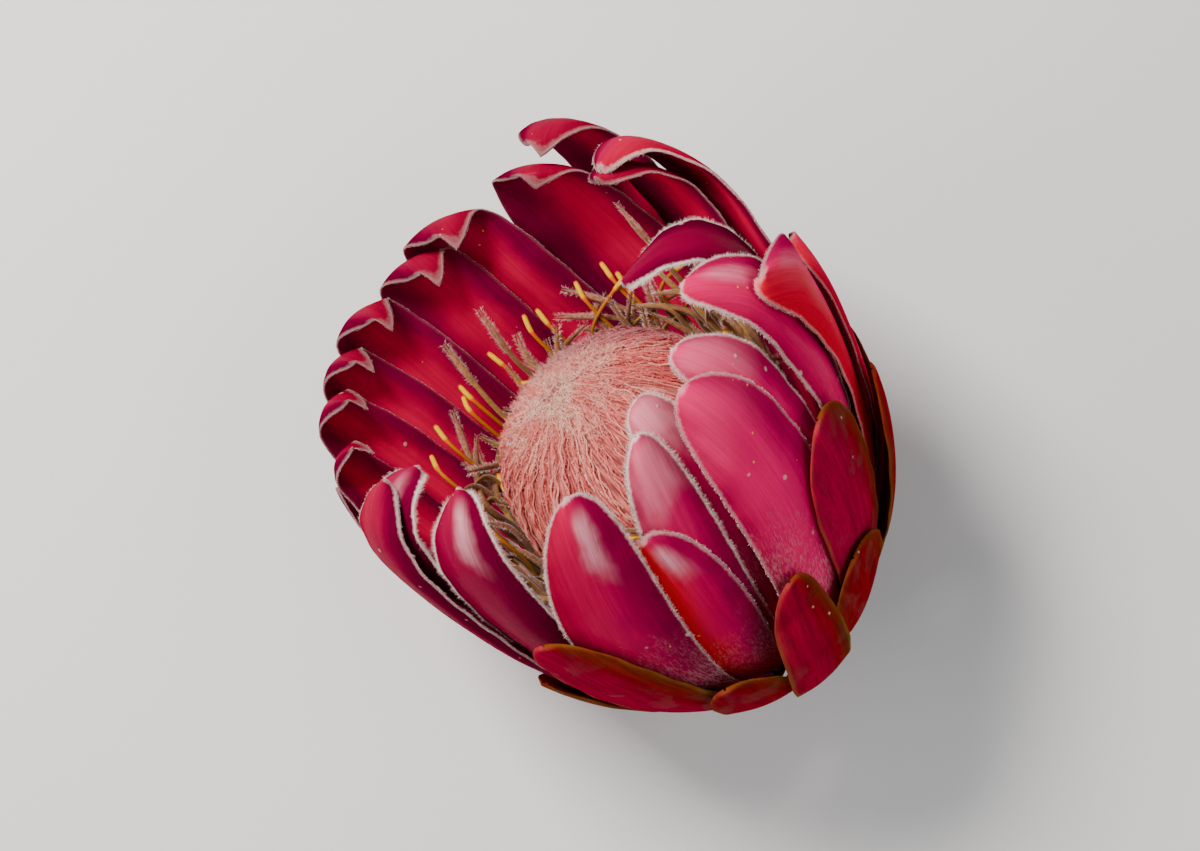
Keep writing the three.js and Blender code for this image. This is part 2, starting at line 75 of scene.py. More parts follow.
BRACT_ROOT = 14.3
BRACT_BULGE = 0.6
BRACT_MIDDLE = 0.9
BRACT_EDGE = 0.68
BRACT_CLAW = 2.2
BASAL_CLAW = 1.6
WIDEST_AT = 0.6
TIP_FULLNESS = 2.4
BASAL_FULLNESS = 3.2
LAYER_GAP = 0.45
CURL_LENGTH = 7
LOW_AT = 30
MIDDLE_AT = 60
BASAL_FROM = 15
NEST_ROWS = 60
NEST_COLUMNS = 21

# Azimuths at the tip, at MIDDLE_AT and at LOW_AT; arc length of the tip; half width; least
# depth inside the outline; sideways slope; lift of the upper part, outward where it is below
# zero; inward curl of the tip.
LARGE_BRACTS = [
    ("right_bract_2", 92, 90, 84, 62, 8.0, -3.0, 1.0, -1, 0),
    ("right_bract_1", 49, 71.5, 61, 80, 10.8, -1.6, 0.4, 0, 0),
    ("right_bract_3", 108, 93, 88, 95, 9.0, 0.0, 0, 0, 3),
    ("near_bract_1", 18.5, 17.5, 3, 84, 8.8, 0.6, 0, 0, 0),
    ("near_bract_4", -16, -33, -42, 86, 9.8, 0.6, 0, 0, 0),
    ("left_bract_3", -75, -80, -84, 98, 8.5, 0.6, 0, 0, 0),
    ("far_bract_2", 127, 123, 120, 95.5, 9.0, 0.2, 1.0, -4.3, 2),
    ("under_bract_1", 152, 150, 150, 76, 9.5, 0.0, 1.0, -2, 0),
    ("under_bract_2", 178, 176, 176, 84, 9.5, 0.0, 1.0, -2, 0),
    ("under_bract_3", 203, 201, 201, 82, 9.5, 0.0, 1.0, -2, 0),
    ("under_bract_4", 228, 227, 227, 80, 9.5, 0.0, 1.0, -2, 0),
    ("left_bract_4", 248, 252, 250, 84, 7.5, 0.5, 1.0, 0, 0),
    ("right_bract_4", 41, 54, 40, 91, 7.5, 1.2, 0, 0, 0),
    ("near_bract_5", -12, -15, -26, 71, 8.5, 2.6, 0, 0, 0),
    ("near_bract_6", 26, 30, 15, 88, 7.0, 2.6, 0, 0, 0),
    ("left_bract_1", -44, -59, -69, 97, 8.0, 1.8, 0, 0, 0),
    ("near_bract_3", 5, -8, -18, 84, 6.8, 4.0, 0, 0, 0),
    ("near_bract_2", 12, 4, -10, 89, 7.0, 5.0, 0, 0, 0),
    ("left_bract_2", -74, -80, -84, 104, 8.0, 2.6, 0, -3, 1),
    ("right_bract_5", 51, 63.3, 57.5, 105, 5.3, 2.6, 0, 0, 0),
    ("right_bract_6", 109, 106, 104, 97, 9.0, 2.0, 0, -1, 0),
    ("far_bract_1", 133.5, 136.5, 138, 97.5, 14.0, 1.2, 1.4, -5, 1.5),
    ("far_bract_3", 167, 167, 168, 96, 11.5, 3.0, 1.6, -4.5, 3.4),
    ("far_bract_4", 179, 182, 183, 96, 10.5, 3.0, 1.6, -4.5, 4),
    ("far_bract_5", 200, 202, 203, 97, 9.5, 3.0, 1.6, -5, 4),
    ("far_bract_6", 216, 215, 215, 96, 8.5, 3.0, 1.6, -5.5, 4),
    ("far_bract_7", 231, 229, 229, 96, 8.5, 3.0, 1.6, -4, 4),
    ("left_bract_5", 246, 247, 246, 93, 8.5, 3.0, 1.6, -3, 4),
]
# Azimuths at the tip and at the root, arc length of the tip, half width, depth, arc length of the root.
BASAL_BRACTS = [
    ("basal_bract_1", -50, -45, 65, 8.2, -1.2, 9),
    ("basal_bract_2", 95, 95, 46, 9.0, -1.2, 9),
    ("basal_bract_3", 165, 165, 58, 10.0, -1.2, 9),
    ("basal_bract_4", 240, 240, 58, 10.0, -1.2, 9),
    ("basal_bract_5", 64, 56, 48, 7.0, -1.2, 9),
    ("basal_bract_6", 34, 26, 60, 9.5, -1.2, 9),
    ("basal_bract_7", 19, 18, 38, 9.0, -1.2, 5),
    ("basal_bract_8", -28, -30, 40, 6.5, -1.6, 5),
    ("basal_bract_9", 3, -15, 48.5, 5.5, -1.6, 5),
    ("basal_bract_10", 130, 130, 46, 9.0, -1.6, 5),
    ("basal_bract_11", 203, 203, 46, 9.0, -1.6, 5),
    ("basal_bract_12", 278, 278, 47, 8.0, -1.6, 5),
]

# How each bract looks: warm red against magenta, a painted highlight with some pale wax bloom near
# the tip (over the full width, or a small spot beside the middle line where it is below zero), silk at
# the base, white felt along the margin, brightness (partly its own, partly painted light and shade).
LOOK_NOTES = ("tone", "frost", "silk", "felt", "glow")
LOOKS = {
    "near_bract_1": (0.15, 0.15, 0.9, 0.35, 1.0),
    "near_bract_2": (0.05, 0.8, 0.5, 0.9, 0.45),
    "near_bract_3": (0.1, 0.55, 0.4, 1.0, 0.6),
    "near_bract_4": (0.25, -0.8, 1.0, 0.6, 0.25),
    "near_bract_5": (1.0, -0.7, 0.7, 0.4, 0.65),
    "near_bract_6": (0.1, 0.4, 0.2, 0.6, 0.9),
    "right_bract_1": (0.8, -0.3, 0.3, 0.35, 1.0),
    "right_bract_2": (0.5, 0.0, 0.0, 0.1, 0.2),
    "right_bract_3": (0.3, 0.0, 0.2, 0.5, 0.0),
    "right_bract_4": (0.15, -0.45, 0.3, 0.7, 0.8),
    "right_bract_5": (0.0, 0.0, 0.0, 0.9, -0.25),
    "left_bract_1": (0.05, -0.55, 1.0, 1.0, -0.1),
    "left_bract_2": (0.0, -0.4, 0.6, 1.0, -0.05),
    "left_bract_3": (0.2, 0.0, 0.15, 0.5, -0.15),
}
# Bracts not listed above: darker, partly painted shade.
DEFAULT_LOOK = (0.15, 0.0, 0.1, 0.18, -0.2)
PLAIN_BASAL_TONE = 0.1
BASAL_TONES = {"basal_bract_1": 0.8, "basal_bract_6": 1.0, "basal_bract_9": 0.6, "basal_bract_8": 0.3}

# Dome of closed florets: radius and height.
DOME = [
    (12.6, 14.0), (13.8, 16.8), (17.3, 21.5), (20.3, 27), (21.7, 34), (21.4, 41), (19.5, 48.0),
    (15.5, 53.2), (10.2, 56.6), (5.0, 58.3), (1.6, 58.8), (0.2, 58.9),
]

# Open florets: azimuth, radius and height at the tip, and the same a little lower.
STYLES = [
    ((138, 29.8, 54.1), (136, 27.7, 50.7)), ((149, 29.8, 53.4), (149, 27.6, 50.2)),
    ((136, 29.7, 51.6), (134, 27.5, 48.4)), ((107, 29.7, 51.3), (123, 27.4, 47.5)),
    ((164, 29.8, 53.6), (164, 27.6, 50.5)), ((168, 29.8, 54.4), (170, 27.7, 51.0)),
    ((184, 29.8, 54.4), (184, 27.7, 51.0)), ((198, 29.8, 55.1), (200, 27.7, 52.0)),
    ((200, 29.8, 53.6), (204, 27.7, 51.4)), ((215, 29.8, 55.9), (220, 27.7, 52.2)),
    ((226, 29.8, 55.1), (234, 27.8, 52.9)),
]
AWNS = [
    ((176, 29.7, 60.3), (180, 27.7, 51.0)), ((191, 29.7, 61.2), (197, 27.5, 48.7)),
    ((206, 29.8, 54.1), (222, 27.4, 46.8)), ((162, 29.7, 50.6), (138, 27.0, 42.7)),
    ((154, 29.8, 53.6), (140, 27.3, 46.2)), ((144, 29.5, 48.8), (150, 27.5, 48.0)),
    ((129, 29.6, 49.0), (135, 26.7, 40.6)), ((112, 28.8, 65.0), (110, 27.7, 58.0)),
    ((89, 29.6, 61.0), (86, 27.8, 56.0)), ((174, 29.8, 52.9), (177, 27.7, 49.4)),
    ((212, 29.4, 47.2), (226, 27.0, 42.5)), ((256, 28.9, 41.5), (262, 26.7, 38.2)),
]


def ease(x):
    x = np.clip(x, 0, 1)
    return x * x * (3 - 2 * x)


def smooth_line(points, count):
    """Evenly spaced points on a smooth line through given ones."""
    points = np.array(points, float)
    ends = np.vstack([2 * points[0] - points[1], points, 2 * points[-1] - points[-2]])
    t = np.linspace(0, 1, 40, endpoint=False)[:, None]
    parts = []
    for a, b, c, d in zip(ends, ends[1:], ends[2:], ends[3:]):
        square = (2 * a - 5 * b + 4 * c - d) * t**2
        cube = (3 * b - a - 3 * c + d) * t**3
        parts.append(0.5 * (2 * b + (c - a) * t + square + cube))
    line = np.vstack(parts + [points[-1:]])
    length = np.r_[0, np.cumsum(np.linalg.norm(np.diff(line, axis=0), axis=1))]
    even = np.linspace(0, length[-1], count)
    return np.stack([np.interp(even, length, column) for column in line.T], 1), even


def unit(vectors):
    return vectors / np.maximum(np.linalg.norm(vectors, axis=-1, keepdims=True), 1e-9)


class Profile:
    """A smooth outline, from radius and height in millimetres."""

    def __init__(self, points, count):
        self.line, self.arc = smooth_line(points, count)
        self.way = unit(np.gradient(self.line, self.arc, axis=0))

    def at(self, s, depth=0.0):
        """Radius and height at an arc length, a given depth inside."""
        r, z, way_r, way_z = (np.interp(s, self.arc, c) for c in (*self.line.T, *self.way.T))
        return r - way_z * depth, z + way_r * depth


HEAD_LINE = Profile(OUTLINE, 240)
DOME_LINE = Profile(DOME, 200)
DOME_LENGTH = DOME_LINE.arc[-1]


def settled(r, azimuth, z):
    """A point of the head from cylindrical numbers, with the rim's tilt and the narrower sides."""
    a = np.radians(azimuth)
    x = r * np.cos(a)
    y = r * np.sin(a)
    base = 1 - BASE_NARROWING * ease((48 - z) / 34) * ease(y / 15)
    base = base + SIDE_FULLNESS * ease((z - 46) / 16) * ease(y / 25)
    x = x * base
    y = y * base * (1 - SIDE_NARROWING * ease(-y / 25))
    return np.stack(np.broadcast_arrays(x, y, z * (1 - RIM_TILT * x / 40)), -1)


def head_point(s, depth, azimuth):
    """A point of the head at an arc length, depth and azimuth, with the flat underside."""
    r, z = HEAD_LINE.at(s, FLAT_LAYER)
    outside = settled(r, azimuth, z)
    excess = outside @ DOWN - FLAT_AT
    give = (excess + np.hypot(excess, FLAT_BLEND)) / 2
    r, z = HEAD_LINE.at(s, depth)
    return settled(r, azimuth, z) - give[..., None] * DOWN


def to_frame(points):
    """From the head's own millimetres to the row frame in metres."""
    return (np.asarray(points) @ TURN.T + np.array(HEAD_AT)) * MM


# Bracts.


class Bract:
    def __init__(self, row, basal):
        if basal:
            self.name, self.tip, self.low, self.length, self.width, self.depth, self.root = row
            self.middle, self.skew, self.lift, self.curl = self.tip, 0, 0, 0
        else:
            (self.name, self.tip, self.middle, self.low, self.length, self.width, self.depth,
             self.skew, self.lift, self.curl) = row
            self.root = BRACT_ROOT
        self.basal = basal

    def share(self, s):
        return (s - self.root) / (self.length - self.root)

    def half_width(self, share):
        claw = (BASAL_CLAW if self.basal else BRACT_CLAW) / self.width
        swell = np.sin(np.clip(share / WIDEST_AT, 0, 1) * np.pi / 2) ** 1.2
        x = np.clip((share - WIDEST_AT) / (1 - WIDEST_AT), 0, 1)
        closing = np.sqrt(np.clip(1 - x ** (BASAL_FULLNESS if self.basal else TIP_FULLNESS), 0, 1))
        return self.width * np.where(share < WIDEST_AT, claw + (1 - claw) * swell, closing)

    def middle_line(self, s):
        """Azimuth of the middle line."""
        end = self.length
        if self.basal:
            share = np.clip((s - BASAL_FROM) / (end - BASAL_FROM), 0, 1)
            return self.low + (self.tip - self.low) * share
        x = np.maximum(s, LOW_AT)
        at_low = (x - MIDDLE_AT) * (x - end) / ((LOW_AT - MIDDLE_AT) * (LOW_AT - end))
        at_middle = (x - LOW_AT) * (x - end) / ((MIDDLE_AT - LOW_AT) * (MIDDLE_AT - end))
        at_tip = (x - LOW_AT) * (x - MIDDLE_AT) / ((end - LOW_AT) * (end - MIDDLE_AT))
        return self.low * at_low + self.middle * at_middle + self.tip * at_tip

    def form(self, s, v):
        """How much deeper a place lies than its layer; v goes from -1 to 1 across the bract."""
        curl = np.clip((s - (self.length - CURL_LENGTH)) / CURL_LENGTH, 0, 1)
        return (
            (BRACT_BULGE * v * v - self.skew * v) * crowding(s)
            + self.lift * ease((self.share(s) - 0.7) / 0.3)
            + self.curl * curl * curl
        )

    def thickness(self, s, v):
        slope = self.form(np.minimum(s + 0.5, self.length), v) - self.form(s - 0.5, v)
        flat = BRACT_EDGE + (BRACT_MIDDLE - BRACT_EDGE) * (1 - v * v)
        return flat * np.minimum(1.5, np.hypot(1, slope))

    def layer_depth(self, s):
        return np.interp(s, self.layer_at, self.layer) * crowding(s)


def radius_at(s):
    return np.maximum(HEAD_LINE.at(s)[0], 5)


def crowding(s):
    """Layers lie closer together near the base."""
    return 0.6 + 0.4 * ease((s - 10) / 40)


def spread(need, reach=5):
    """The largest of the neighbours, then their average, along the bract."""
    for gather in (np.max, np.mean):
        padded = np.pad(need, reach, mode="edge")
        need = np.array([gather(padded[i : i + 2 * reach + 1]) for i in range(len(need))])
    return need


def nest(bracts):
    """Stacks the bracts: each lies clear of those already in place."""
    across = np.linspace(-1, 1, NEST_COLUMNS)
    share, v = np.meshgrid(np.linspace(0, 1, NEST_ROWS), across, indexing="ij")
    for index, bract in enumerate(bracts):
        way = -1 if bract.basal else 1
        s = bract.root + (bract.length - bract.root) * share
        azimuth = bract.middle_line(s) + np.degrees(v * bract.half_width(share) / radius_at(s))
        own = bract.form(s, v)
        need = np.full(NEST_ROWS, float(way * bract.depth))
        for other in bracts[:index]:
            wide = np.maximum(other.half_width(np.clip(other.share(s), 0, 1)), 1e-6)
            apart = (azimuth - other.middle_line(s) + 180) % 360 - 180
            w = np.radians(apart) * radius_at(s) / wide
            meets = (other.share(s) > -0.02) & (other.share(s) < 1) & (np.abs(apart) < 90)
            meets &= np.abs(w) < 1 + 0.4 / np.maximum(wide, 0.4)
            if not meets.any():
                continue
            w = np.clip(w, -1, 1)
            face = other.layer_depth(s) + other.form(s, w)
            if bract.basal:
                clear = -(face - LAYER_GAP - bract.thickness(s, v) - own) / crowding(s)
            else:
                clear = (face + other.thickness(s, w) + LAYER_GAP - own) / crowding(s)
            need = np.maximum(need, np.where(meets, clear, -1e9).max(axis=1))
        bract.layer_at = s[:, 0]
        bract.layer = way * spread(need)


BRACTS = [Bract(row, False) for row in LARGE_BRACTS] + [Bract(row, True) for row in BASAL_BRACTS]
nest(BRACTS)


# Node graphs.


def both_ways(operation):
    """A sum with this wire first, and one with it second."""
    return (
        lambda self, other: self.graph.maths(operation, self, other),
        lambda self, other: self.graph.maths(operation, other, self),
    )


class Wire:
    """One output of a node, ready for sums with numbers and with other outputs."""

    def __init__(self, graph, socket):
        self.graph = graph
        self.socket = socket

    __add__, __radd__ = both_ways("ADD")
    __sub__, __rsub__ = both_ways("SUBTRACT")
    __mul__, __rmul__ = both_ways("MULTIPLY")

    def ramp(self, low, high, start=0.0, end=1.0):
        """Rises smoothly from start to end as this goes from low to high."""
        if low > high:
            low, high, start, end = high, low, end, start
        span = {"Value": self, "From Min": low, "From Max": high, "To Min": start, "To Max": end}
        return self.graph.node("ShaderNodeMapRange", span, interpolation_type="SMOOTHSTEP")

    def size(self):
        return self.graph.maths("ABSOLUTE", self)


class Graph:
    """Builds one node tree."""

    def __init__(self, tree):
        self.tree = tree

    def node(self, kind, inputs=None, out=0, **settings):
        made = self.tree.nodes.new(kind)
        for key, value in settings.items():
            setattr(made, key, value)
        for key, value in (inputs or {}).items():
            self.give(self.find(made.inputs, key), value)
        return Wire(self, self.find(made.outputs, out))

    @staticmethod
    def find(sockets, key):
        """A socket by its identifier, or else by its name or number."""
        known = [socket for socket in sockets if socket.identifier == key]
        return known[0] if known else sockets[key]

    def give(self, socket, value):
        if isinstance(value, Wire):
            self.tree.links.new(value.socket, socket)
        elif isinstance(value, tuple) and len(value) == 3 and socket.type == "RGBA":
            socket.default_value = (*value, 1)
        else:
            socket.default_value = value

    def maths(self, operation, *terms):
        flat = all(not isinstance(t, tuple) for t in terms)
        flat = flat and all(t.socket.type in ("VALUE", "INT") for t in terms if isinstance(t, Wire))
        if flat:
            return self.node("ShaderNodeMath", dict(enumerate(terms)), operation=operation)
        terms = [(t, t, t) if isinstance(t, (int, float)) else t for t in terms]
        return self.node("ShaderNodeVectorMath", dict(enumerate(terms)), operation=operation)

    def blend(self, factor, low, high):
        """Colour between low and high."""
        ends = {"Factor_Float": factor, "A_Color": low, "B_Color": high}
        return self.node("ShaderNodeMix", ends, out="Result_Color", data_type="RGBA")

    def joined(self, x, y, z):
        return self.node("ShaderNodeCombineXYZ", {"X": x, "Y": y, "Z": z})

    def noted(self, name):
        """A number stored on the piece's points."""
        return self.node("ShaderNodeAttribute", out="Fac", attribute_name=name)

    def notes(self, *names):
        return [self.noted(name) for name in names]

    def place(self):
        return self.node("ShaderNodeTexCoord", out="Object")

    def noise(self, scale, detail=2.0, rough=0.5, warp=0.0, place=None):
        """Noise on the piece's Object coordinates, or on a given place."""
        looks = {"Scale": scale, "Detail": detail, "Roughness": rough, "Distortion": warp}
        return self.node("ShaderNodeTexNoise", {"Vector": place or self.place(), **looks}, out="Fac")

    def streaks(self, fine, coarse, *look):
        """Noise in millimetres across and along a bract, different on each."""
        width, length, which = self.notes("across_mm", "along_mm", "which")
        return self.noise(1.0, *look, place=self.joined(width * fine, length * coarse, which))

    def cells(self, scale, out="Distance"):
        return self.node("ShaderNodeTexVoronoi", {"Vector": self.place(), "Scale": scale}, out=out)

    def specks(self, scale):
        """Round specks in about one cell of seven, and the random colour of each cell."""
        lucky = self.cells(scale, "Color")
        chance = self.node("ShaderNodeSeparateColor", {"Color": lucky}, out="Red")
        return self.cells(scale).ramp(0.13, 0.07) * chance.ramp(0.84, 0.86), lucky


def material(name, paint, **fixed):
    """A surface painted by a function of a graph; fixed numbers stay on the shader."""
    made = bpy.data.materials.new(name)
    made.use_nodes = True
    made.node_tree.nodes.clear()
    graph = Graph(made.node_tree)
    parts = ("Base Color", "Roughness", "Bump", "Coat Weight")
    looks = dict(zip(parts, paint(graph)))
    if "Bump" in looks:
        height, depth = looks.pop("Bump")
        bump = {"Height": height, "Distance": depth * MM, "Strength": 1.0}
        looks["Normal"] = graph.node("ShaderNodeBump", bump)
    shader = graph.node("ShaderNodeBsdfPrincipled", looks)
    for key, value in fixed.items():
        graph.give(shader.socket.node.inputs[key.replace("_", " ")], value)
    output = made.node_tree.nodes.new("ShaderNodeOutputMaterial")
    made.node_tree.links.new(shader.socket, output.inputs["Surface"])
    return made


# Materials.


def paint_bract(g):
    across, along, rim, inside = g.notes("across", "along", "rim", "inside")
    tone, frost, silk, felt, glow = g.notes(*LOOK_NOTES)
    streak = g.streaks(1.3, 0.05, 4.0, 0.6)
    thread = g.streaks(5.0, 0.12, 2.0, 0.5)
    drift = g.streaks(0.16, 0.1, 3.0, 0.55) - 0.5
    grain = g.noise(1800, 3.0, 0.7)
    dust = g.noise(5200, 2.0, 0.6)

    # Outer face.
    side = (across + 0.15 + drift * 0.5).size().ramp(0.15, 1.0)
    # Each bract's brightness, from its glow note: partly its own colour, partly painted light and shade
    # for how much light falls on that bract.
    bright = glow * 0.8 + 0.2
    centre = g.blend(bright, (0.20, 0.0, 0.028), (0.95, 0.0, 0.155))
    shade = g.blend(bright, (0.09, 0.0, 0.016), (0.42, 0.0, 0.070))
    body = g.blend(side, centre, shade)
    warm = tone * (across + drift * 0.9).ramp(0.6, -0.35)
    body = g.blend(warm, body, (0.74, 0.0, 0.010))
    body = body * (streak.ramp(0.3, 0.7, 0.90, 1.06) * thread.ramp(0.3, 0.7, 0.95, 1.04))
    body = g.blend(along.ramp(0.42, 0.05) * 0.5, body, (0.18, 0.001, 0.03))
    # Painted highlight near the tip, with some pale wax bloom, in pale pink: across the full width, or
    # a small spot beside the middle line.
    highlight_patch = (along + drift * 0.2).ramp(0.77, 0.90) * along.ramp(1.0, 0.96, 0.3, 1.0)
    highlight_patch = frost.ramp(0.0, 1.0) * highlight_patch * (across + drift * 0.8).size().ramp(1.0, 0.4, 0.3, 1.0)
    highlight_dab = (along + across * 0.10 + drift * 0.2).ramp(0.80, 0.94) * along.ramp(0.985, 0.93)
    highlight_dab = frost.ramp(0.0, -1.0) * highlight_dab * (across - 0.22 + drift * 0.6).size().ramp(0.42, 0.0)
    body = g.blend(highlight_patch * streak.ramp(0.35, 0.65, 0.8, 1.0), body, (0.98, 0.30, 0.38))
    body = g.blend(highlight_dab * streak.ramp(0.35, 0.6, 0.65, 1.0), body, (0.97, 0.44, 0.50))
    sheen = silk * (along + (grain - 0.5) * 0.3 + drift * 0.4 + across * 0.06).ramp(0.62, 0.22)
    fleck = g.streaks(3.4, 0.9, 3.0, 0.65)
    flecks = fleck.ramp(0.42, 0.62, 0.06, 1.0) * dust.ramp(0.35, 0.6, 0.4, 1.0)
    body = g.blend(sheen * flecks * 0.8, body, (0.86, 0.46, 0.48))

    # Inner face.
    band = (across + 0.12 + drift * 0.5).size().ramp(0.75, 0.05)
    lit = band * along.ramp(0.0, 0.35, 0.4, 1.0) * along.ramp(1.05, 0.75, 0.3, 1.0)
    lining = g.blend(lit, (0.20, 0.0, 0.038), (0.76, 0.0, 0.068))
    lining = lining * (streak.ramp(0.3, 0.7, 0.92, 1.06) * thread.ramp(0.3, 0.7, 0.96, 1.03))
    colour = g.blend(inside, body, lining)

    # Felt and the pale line at the margin.
    line = rim.ramp(0.24, 0.04) * 0.5
    wool = felt * (rim + (grain - 0.5) * 0.8).ramp(0.6, 0.05) * along.ramp(0.25, 0.6)
    edge = g.maths("MAXIMUM", line * (0.35 + 0.65 * felt), wool * 0.85)
    colour = g.blend(edge * (1 - inside * 0.75), colour, (0.86, 0.64, 0.60))

    # Specks of sap and pollen.
    speck, lucky = g.specks(260)
    colour = g.blend(speck * 0.55, colour, (0.86, 0.55, 0.48))
    green = g.node("ShaderNodeSeparateColor", {"Color": lucky}, out="Green")
    pollen = g.cells(600).ramp(0.14, 0.08) * green.ramp(0.94, 0.95)
    colour = g.blend(pollen * 0.8, colour, (0.85, 0.45, 0.06))

    rough = 0.30 + 0.10 * grain + 0.30 * edge + 0.15 * sheen + 0.10 * inside
    height = thread * 0.5 + streak * 0.8 + grain * 0.12 + speck * 1.2
    gloss = (across + 0.1 + drift * 0.6).size().ramp(0.6, 0.15) * along.ramp(0.35, 0.7)
    coat = gloss * 0.10 * (1 - inside) * (1 - edge)
    return colour, rough, (height, 0.09), coat


def paint_basal(g):
    across, along, rim, tone = g.notes("across", "along", "rim", "tone")
    streak = g.streaks(1.2, 0.12, 4.0, 0.6)
    cloud = g.streaks(0.2, 0.16, 3.0, 0.6)
    grain = g.noise(1500, 3.0, 0.7)
    side = across.size().ramp(0.4, 1.0) * 0.7 + along.ramp(0.6, 0.1) * 0.5
    body = g.blend(side + (cloud - 0.5) * 1.2, (0.24, 0.004, 0.008), (0.15, 0.030, 0.004))
    body = g.blend(tone * (across + (cloud - 0.5) * 0.8).ramp(0.9, -0.2), body, (0.40, 0.0, 0.040))
    body = g.blend(along.ramp(0.5, 0.0) * 0.6, body, (0.14, 0.016, 0.008))
    body = body * streak.ramp(0.3, 0.7, 0.75, 1.2)
    vein = g.streaks(0.9, 0.35, 5.0, 0.7, 1.2)
    crack = (vein - 0.5).size().ramp(0.02, 0.0) * cloud.ramp(0.45, 0.6)
    body = g.blend(crack * 0.6, body, (0.05, 0.012, 0.008))
    edge = rim.ramp(0.8, 0.15) * along.ramp(0.9, 0.5, 0.35, 1.0)
    body = g.blend(edge * cloud.ramp(0.35, 0.65, 0.25, 0.75), body, (0.25, 0.12, 0.02))
    speck = g.specks(420)[0]
    body = g.blend(speck * 0.7, body, (0.80, 0.45, 0.32))
    rough = 0.36 + 0.16 * grain
    height = streak * 0.8 + grain * 0.15 + speck * 1.0
    coat = 0.06 * cloud.ramp(0.5, 0.65) * (1 - edge)
    return body, rough, (height, 0.08), coat


def paint_hair(g):
    tone = g.noise(900, 1.0)
    colour = g.blend(tone.ramp(0.35, 0.7), (0.94, 0.80, 0.72), (0.92, 0.60, 0.58))
    return colour, 0.55 + 0.1 * tone


# The far side of the head, where the dome's rim gets painted shade, and over how many mm it rises.
FAR_AZIMUTH = math.radians(150)
FAR_SIDE = HEAD_TURN @ Vector((math.cos(FAR_AZIMUTH), math.sin(FAR_AZIMUTH), 0))
FAR_SHADE_RANGE = (3.0, 12.0)


def painted_far_shade(g):
    """Rises on the far side of the head's axis, where the dome's rim is painted in shade: mauve and
    darker.
    """
    terms = {0: g.place(), 1: tuple(FAR_SIDE)}
    reach = g.node("ShaderNodeVectorMath", terms, out="Value", operation="DOT_PRODUCT")
    return (reach * 1000 - HEAD_AT.dot(FAR_SIDE)).ramp(*FAR_SHADE_RANGE)


def paint_fuzz(g):
    along = g.noted("along")
    tone = g.noise(260, 2.0)
    fine = g.noise(1500, 1.0)
    colour = g.blend(tone.ramp(0.35, 0.65), (0.98, 0.24, 0.21), (0.99, 0.46, 0.38))
    colour = g.blend(fine.ramp(0.50, 0.7) * 0.6, colour, (0.86, 0.12, 0.12))
    colour = g.blend((along + (tone - 0.5) * 0.4).ramp(0.76, 0.99), colour, (1.0, 0.66, 0.53))
    # Painted shade: mauve and darker on the dome's far rim.
    colour = g.blend(painted_far_shade(g) * 0.75, colour, (0.50, 0.20, 0.24))
    return colour, 0.55 + 0.1 * tone


def paint_strand(g):
    along, tone = g.notes("along", "tone")
    fuzz = g.noise(4200, 3.0, 0.7)
    cloud = g.noise(160, 2.0)
    body = g.blend(tone.ramp(0.25, 0.75), (0.66, 0.045, 0.05), (0.94, 0.38, 0.30))
    body = g.blend(cloud.ramp(0.4, 0.7) * 0.5, body, (0.86, 0.24, 0.22))
    body = g.blend(along.ramp(0.72, 1.0) * 0.8, body, (0.92, 0.50, 0.40))
    body = g.blend(along.ramp(0.66, 0.25), body, (0.34, 0.04, 0.03))
    # Painted shade: mauve and darker on the dome's far rim.
    body = g.blend(painted_far_shade(g) * 0.7, body, (0.34, 0.10, 0.13))
    body = body * fuzz.ramp(0.3, 0.7, 0.72, 1.18)
    return body, 0.7 + 0.1 * fuzz, (fuzz, 0.12)


def paint_core(g):
    tone = g.noise(700, 3.0)
    around, along = g.notes("around", "along")
    strand = g.noise(1.0, 2.0, 0.6, 0.4, g.joined(around * 2.2, along * 9, 0.0))
    colour = g.blend(strand.ramp(0.38, 0.62), (0.26, 0.025, 0.02), (0.80, 0.20, 0.17))
    colour = colour * tone.ramp(0.3, 0.7, 0.7, 1.1)
    return colour, 0.8 + 0.1 * tone, (strand + tone * 0.3, 0.4)


def paint_style(g):
    ahead = g.noted("ahead")
    grain = g.noise(1300, 3.0, 0.7)
    stalk = g.blend(ahead.ramp(14.0, 4.5), (0.26, 0.12, 0.008), (0.56, 0.17, 0.006))
    rod = g.blend(grain.ramp(0.44, 0.34), (0.84, 0.46, 0.0), (0.84, 0.30, 0.0))
    rod = g.blend(ahead.ramp(2.7, 3.3), rod, (0.80, 0.10, 0.008))
    colour = g.blend(ahead.ramp(3.8, 3.6), stalk, rod)
    colour = g.blend(ahead.ramp(0.35, 0.15), colour, (0.70, 0.06, 0.006))
    return colour, 0.45 + 0.2 * grain, (grain, 0.12)


def paint_awn(g):
    ahead, tone, hairy = g.notes("ahead", "tone", "hairy")
    grain = g.noise(1900, 3.0, 0.7)
    strap = g.blend(tone.ramp(0.2, 0.8), (0.20, 0.065, 0.008), (0.36, 0.17, 0.012))
    strap = strap * grain.ramp(0.3, 0.7, 0.7, 1.2)
    strap = g.blend(ahead.ramp(16.0, 26.0), strap, (0.10, 0.05, 0.012))
    pink = g.blend(grain.ramp(0.40, 0.60), (0.30, 0.07, 0.03), (0.62, 0.24, 0.17))
    colour = g.blend(ahead.ramp(12.0, 4.0) * hairy * 0.45, strap, pink)
    return colour, 0.62 + 0.12 * grain, (grain, 0.15)


def paint_seat(g):
    bark = g.noise(420, 5.0, 0.65, 0.6)
    fine = g.noise(2400, 3.0, 0.7)
    colour = g.blend(bark.ramp(0.35, 0.65), (0.10, 0.06, 0.03), (0.28, 0.19, 0.10))
    colour = colour * fine.ramp(0.3, 0.7, 0.8, 1.15)
    return colour, 0.75 + 0.15 * bark, (bark + fine * 0.3, 0.4)


def paint_floor(g):
    tone = g.noise(14, 3.0)
    colour = g.blend(tone, (0.86, 0.85, 0.83), (0.89, 0.88, 0.86))
    return colour, 0.62 + 0.06 * tone


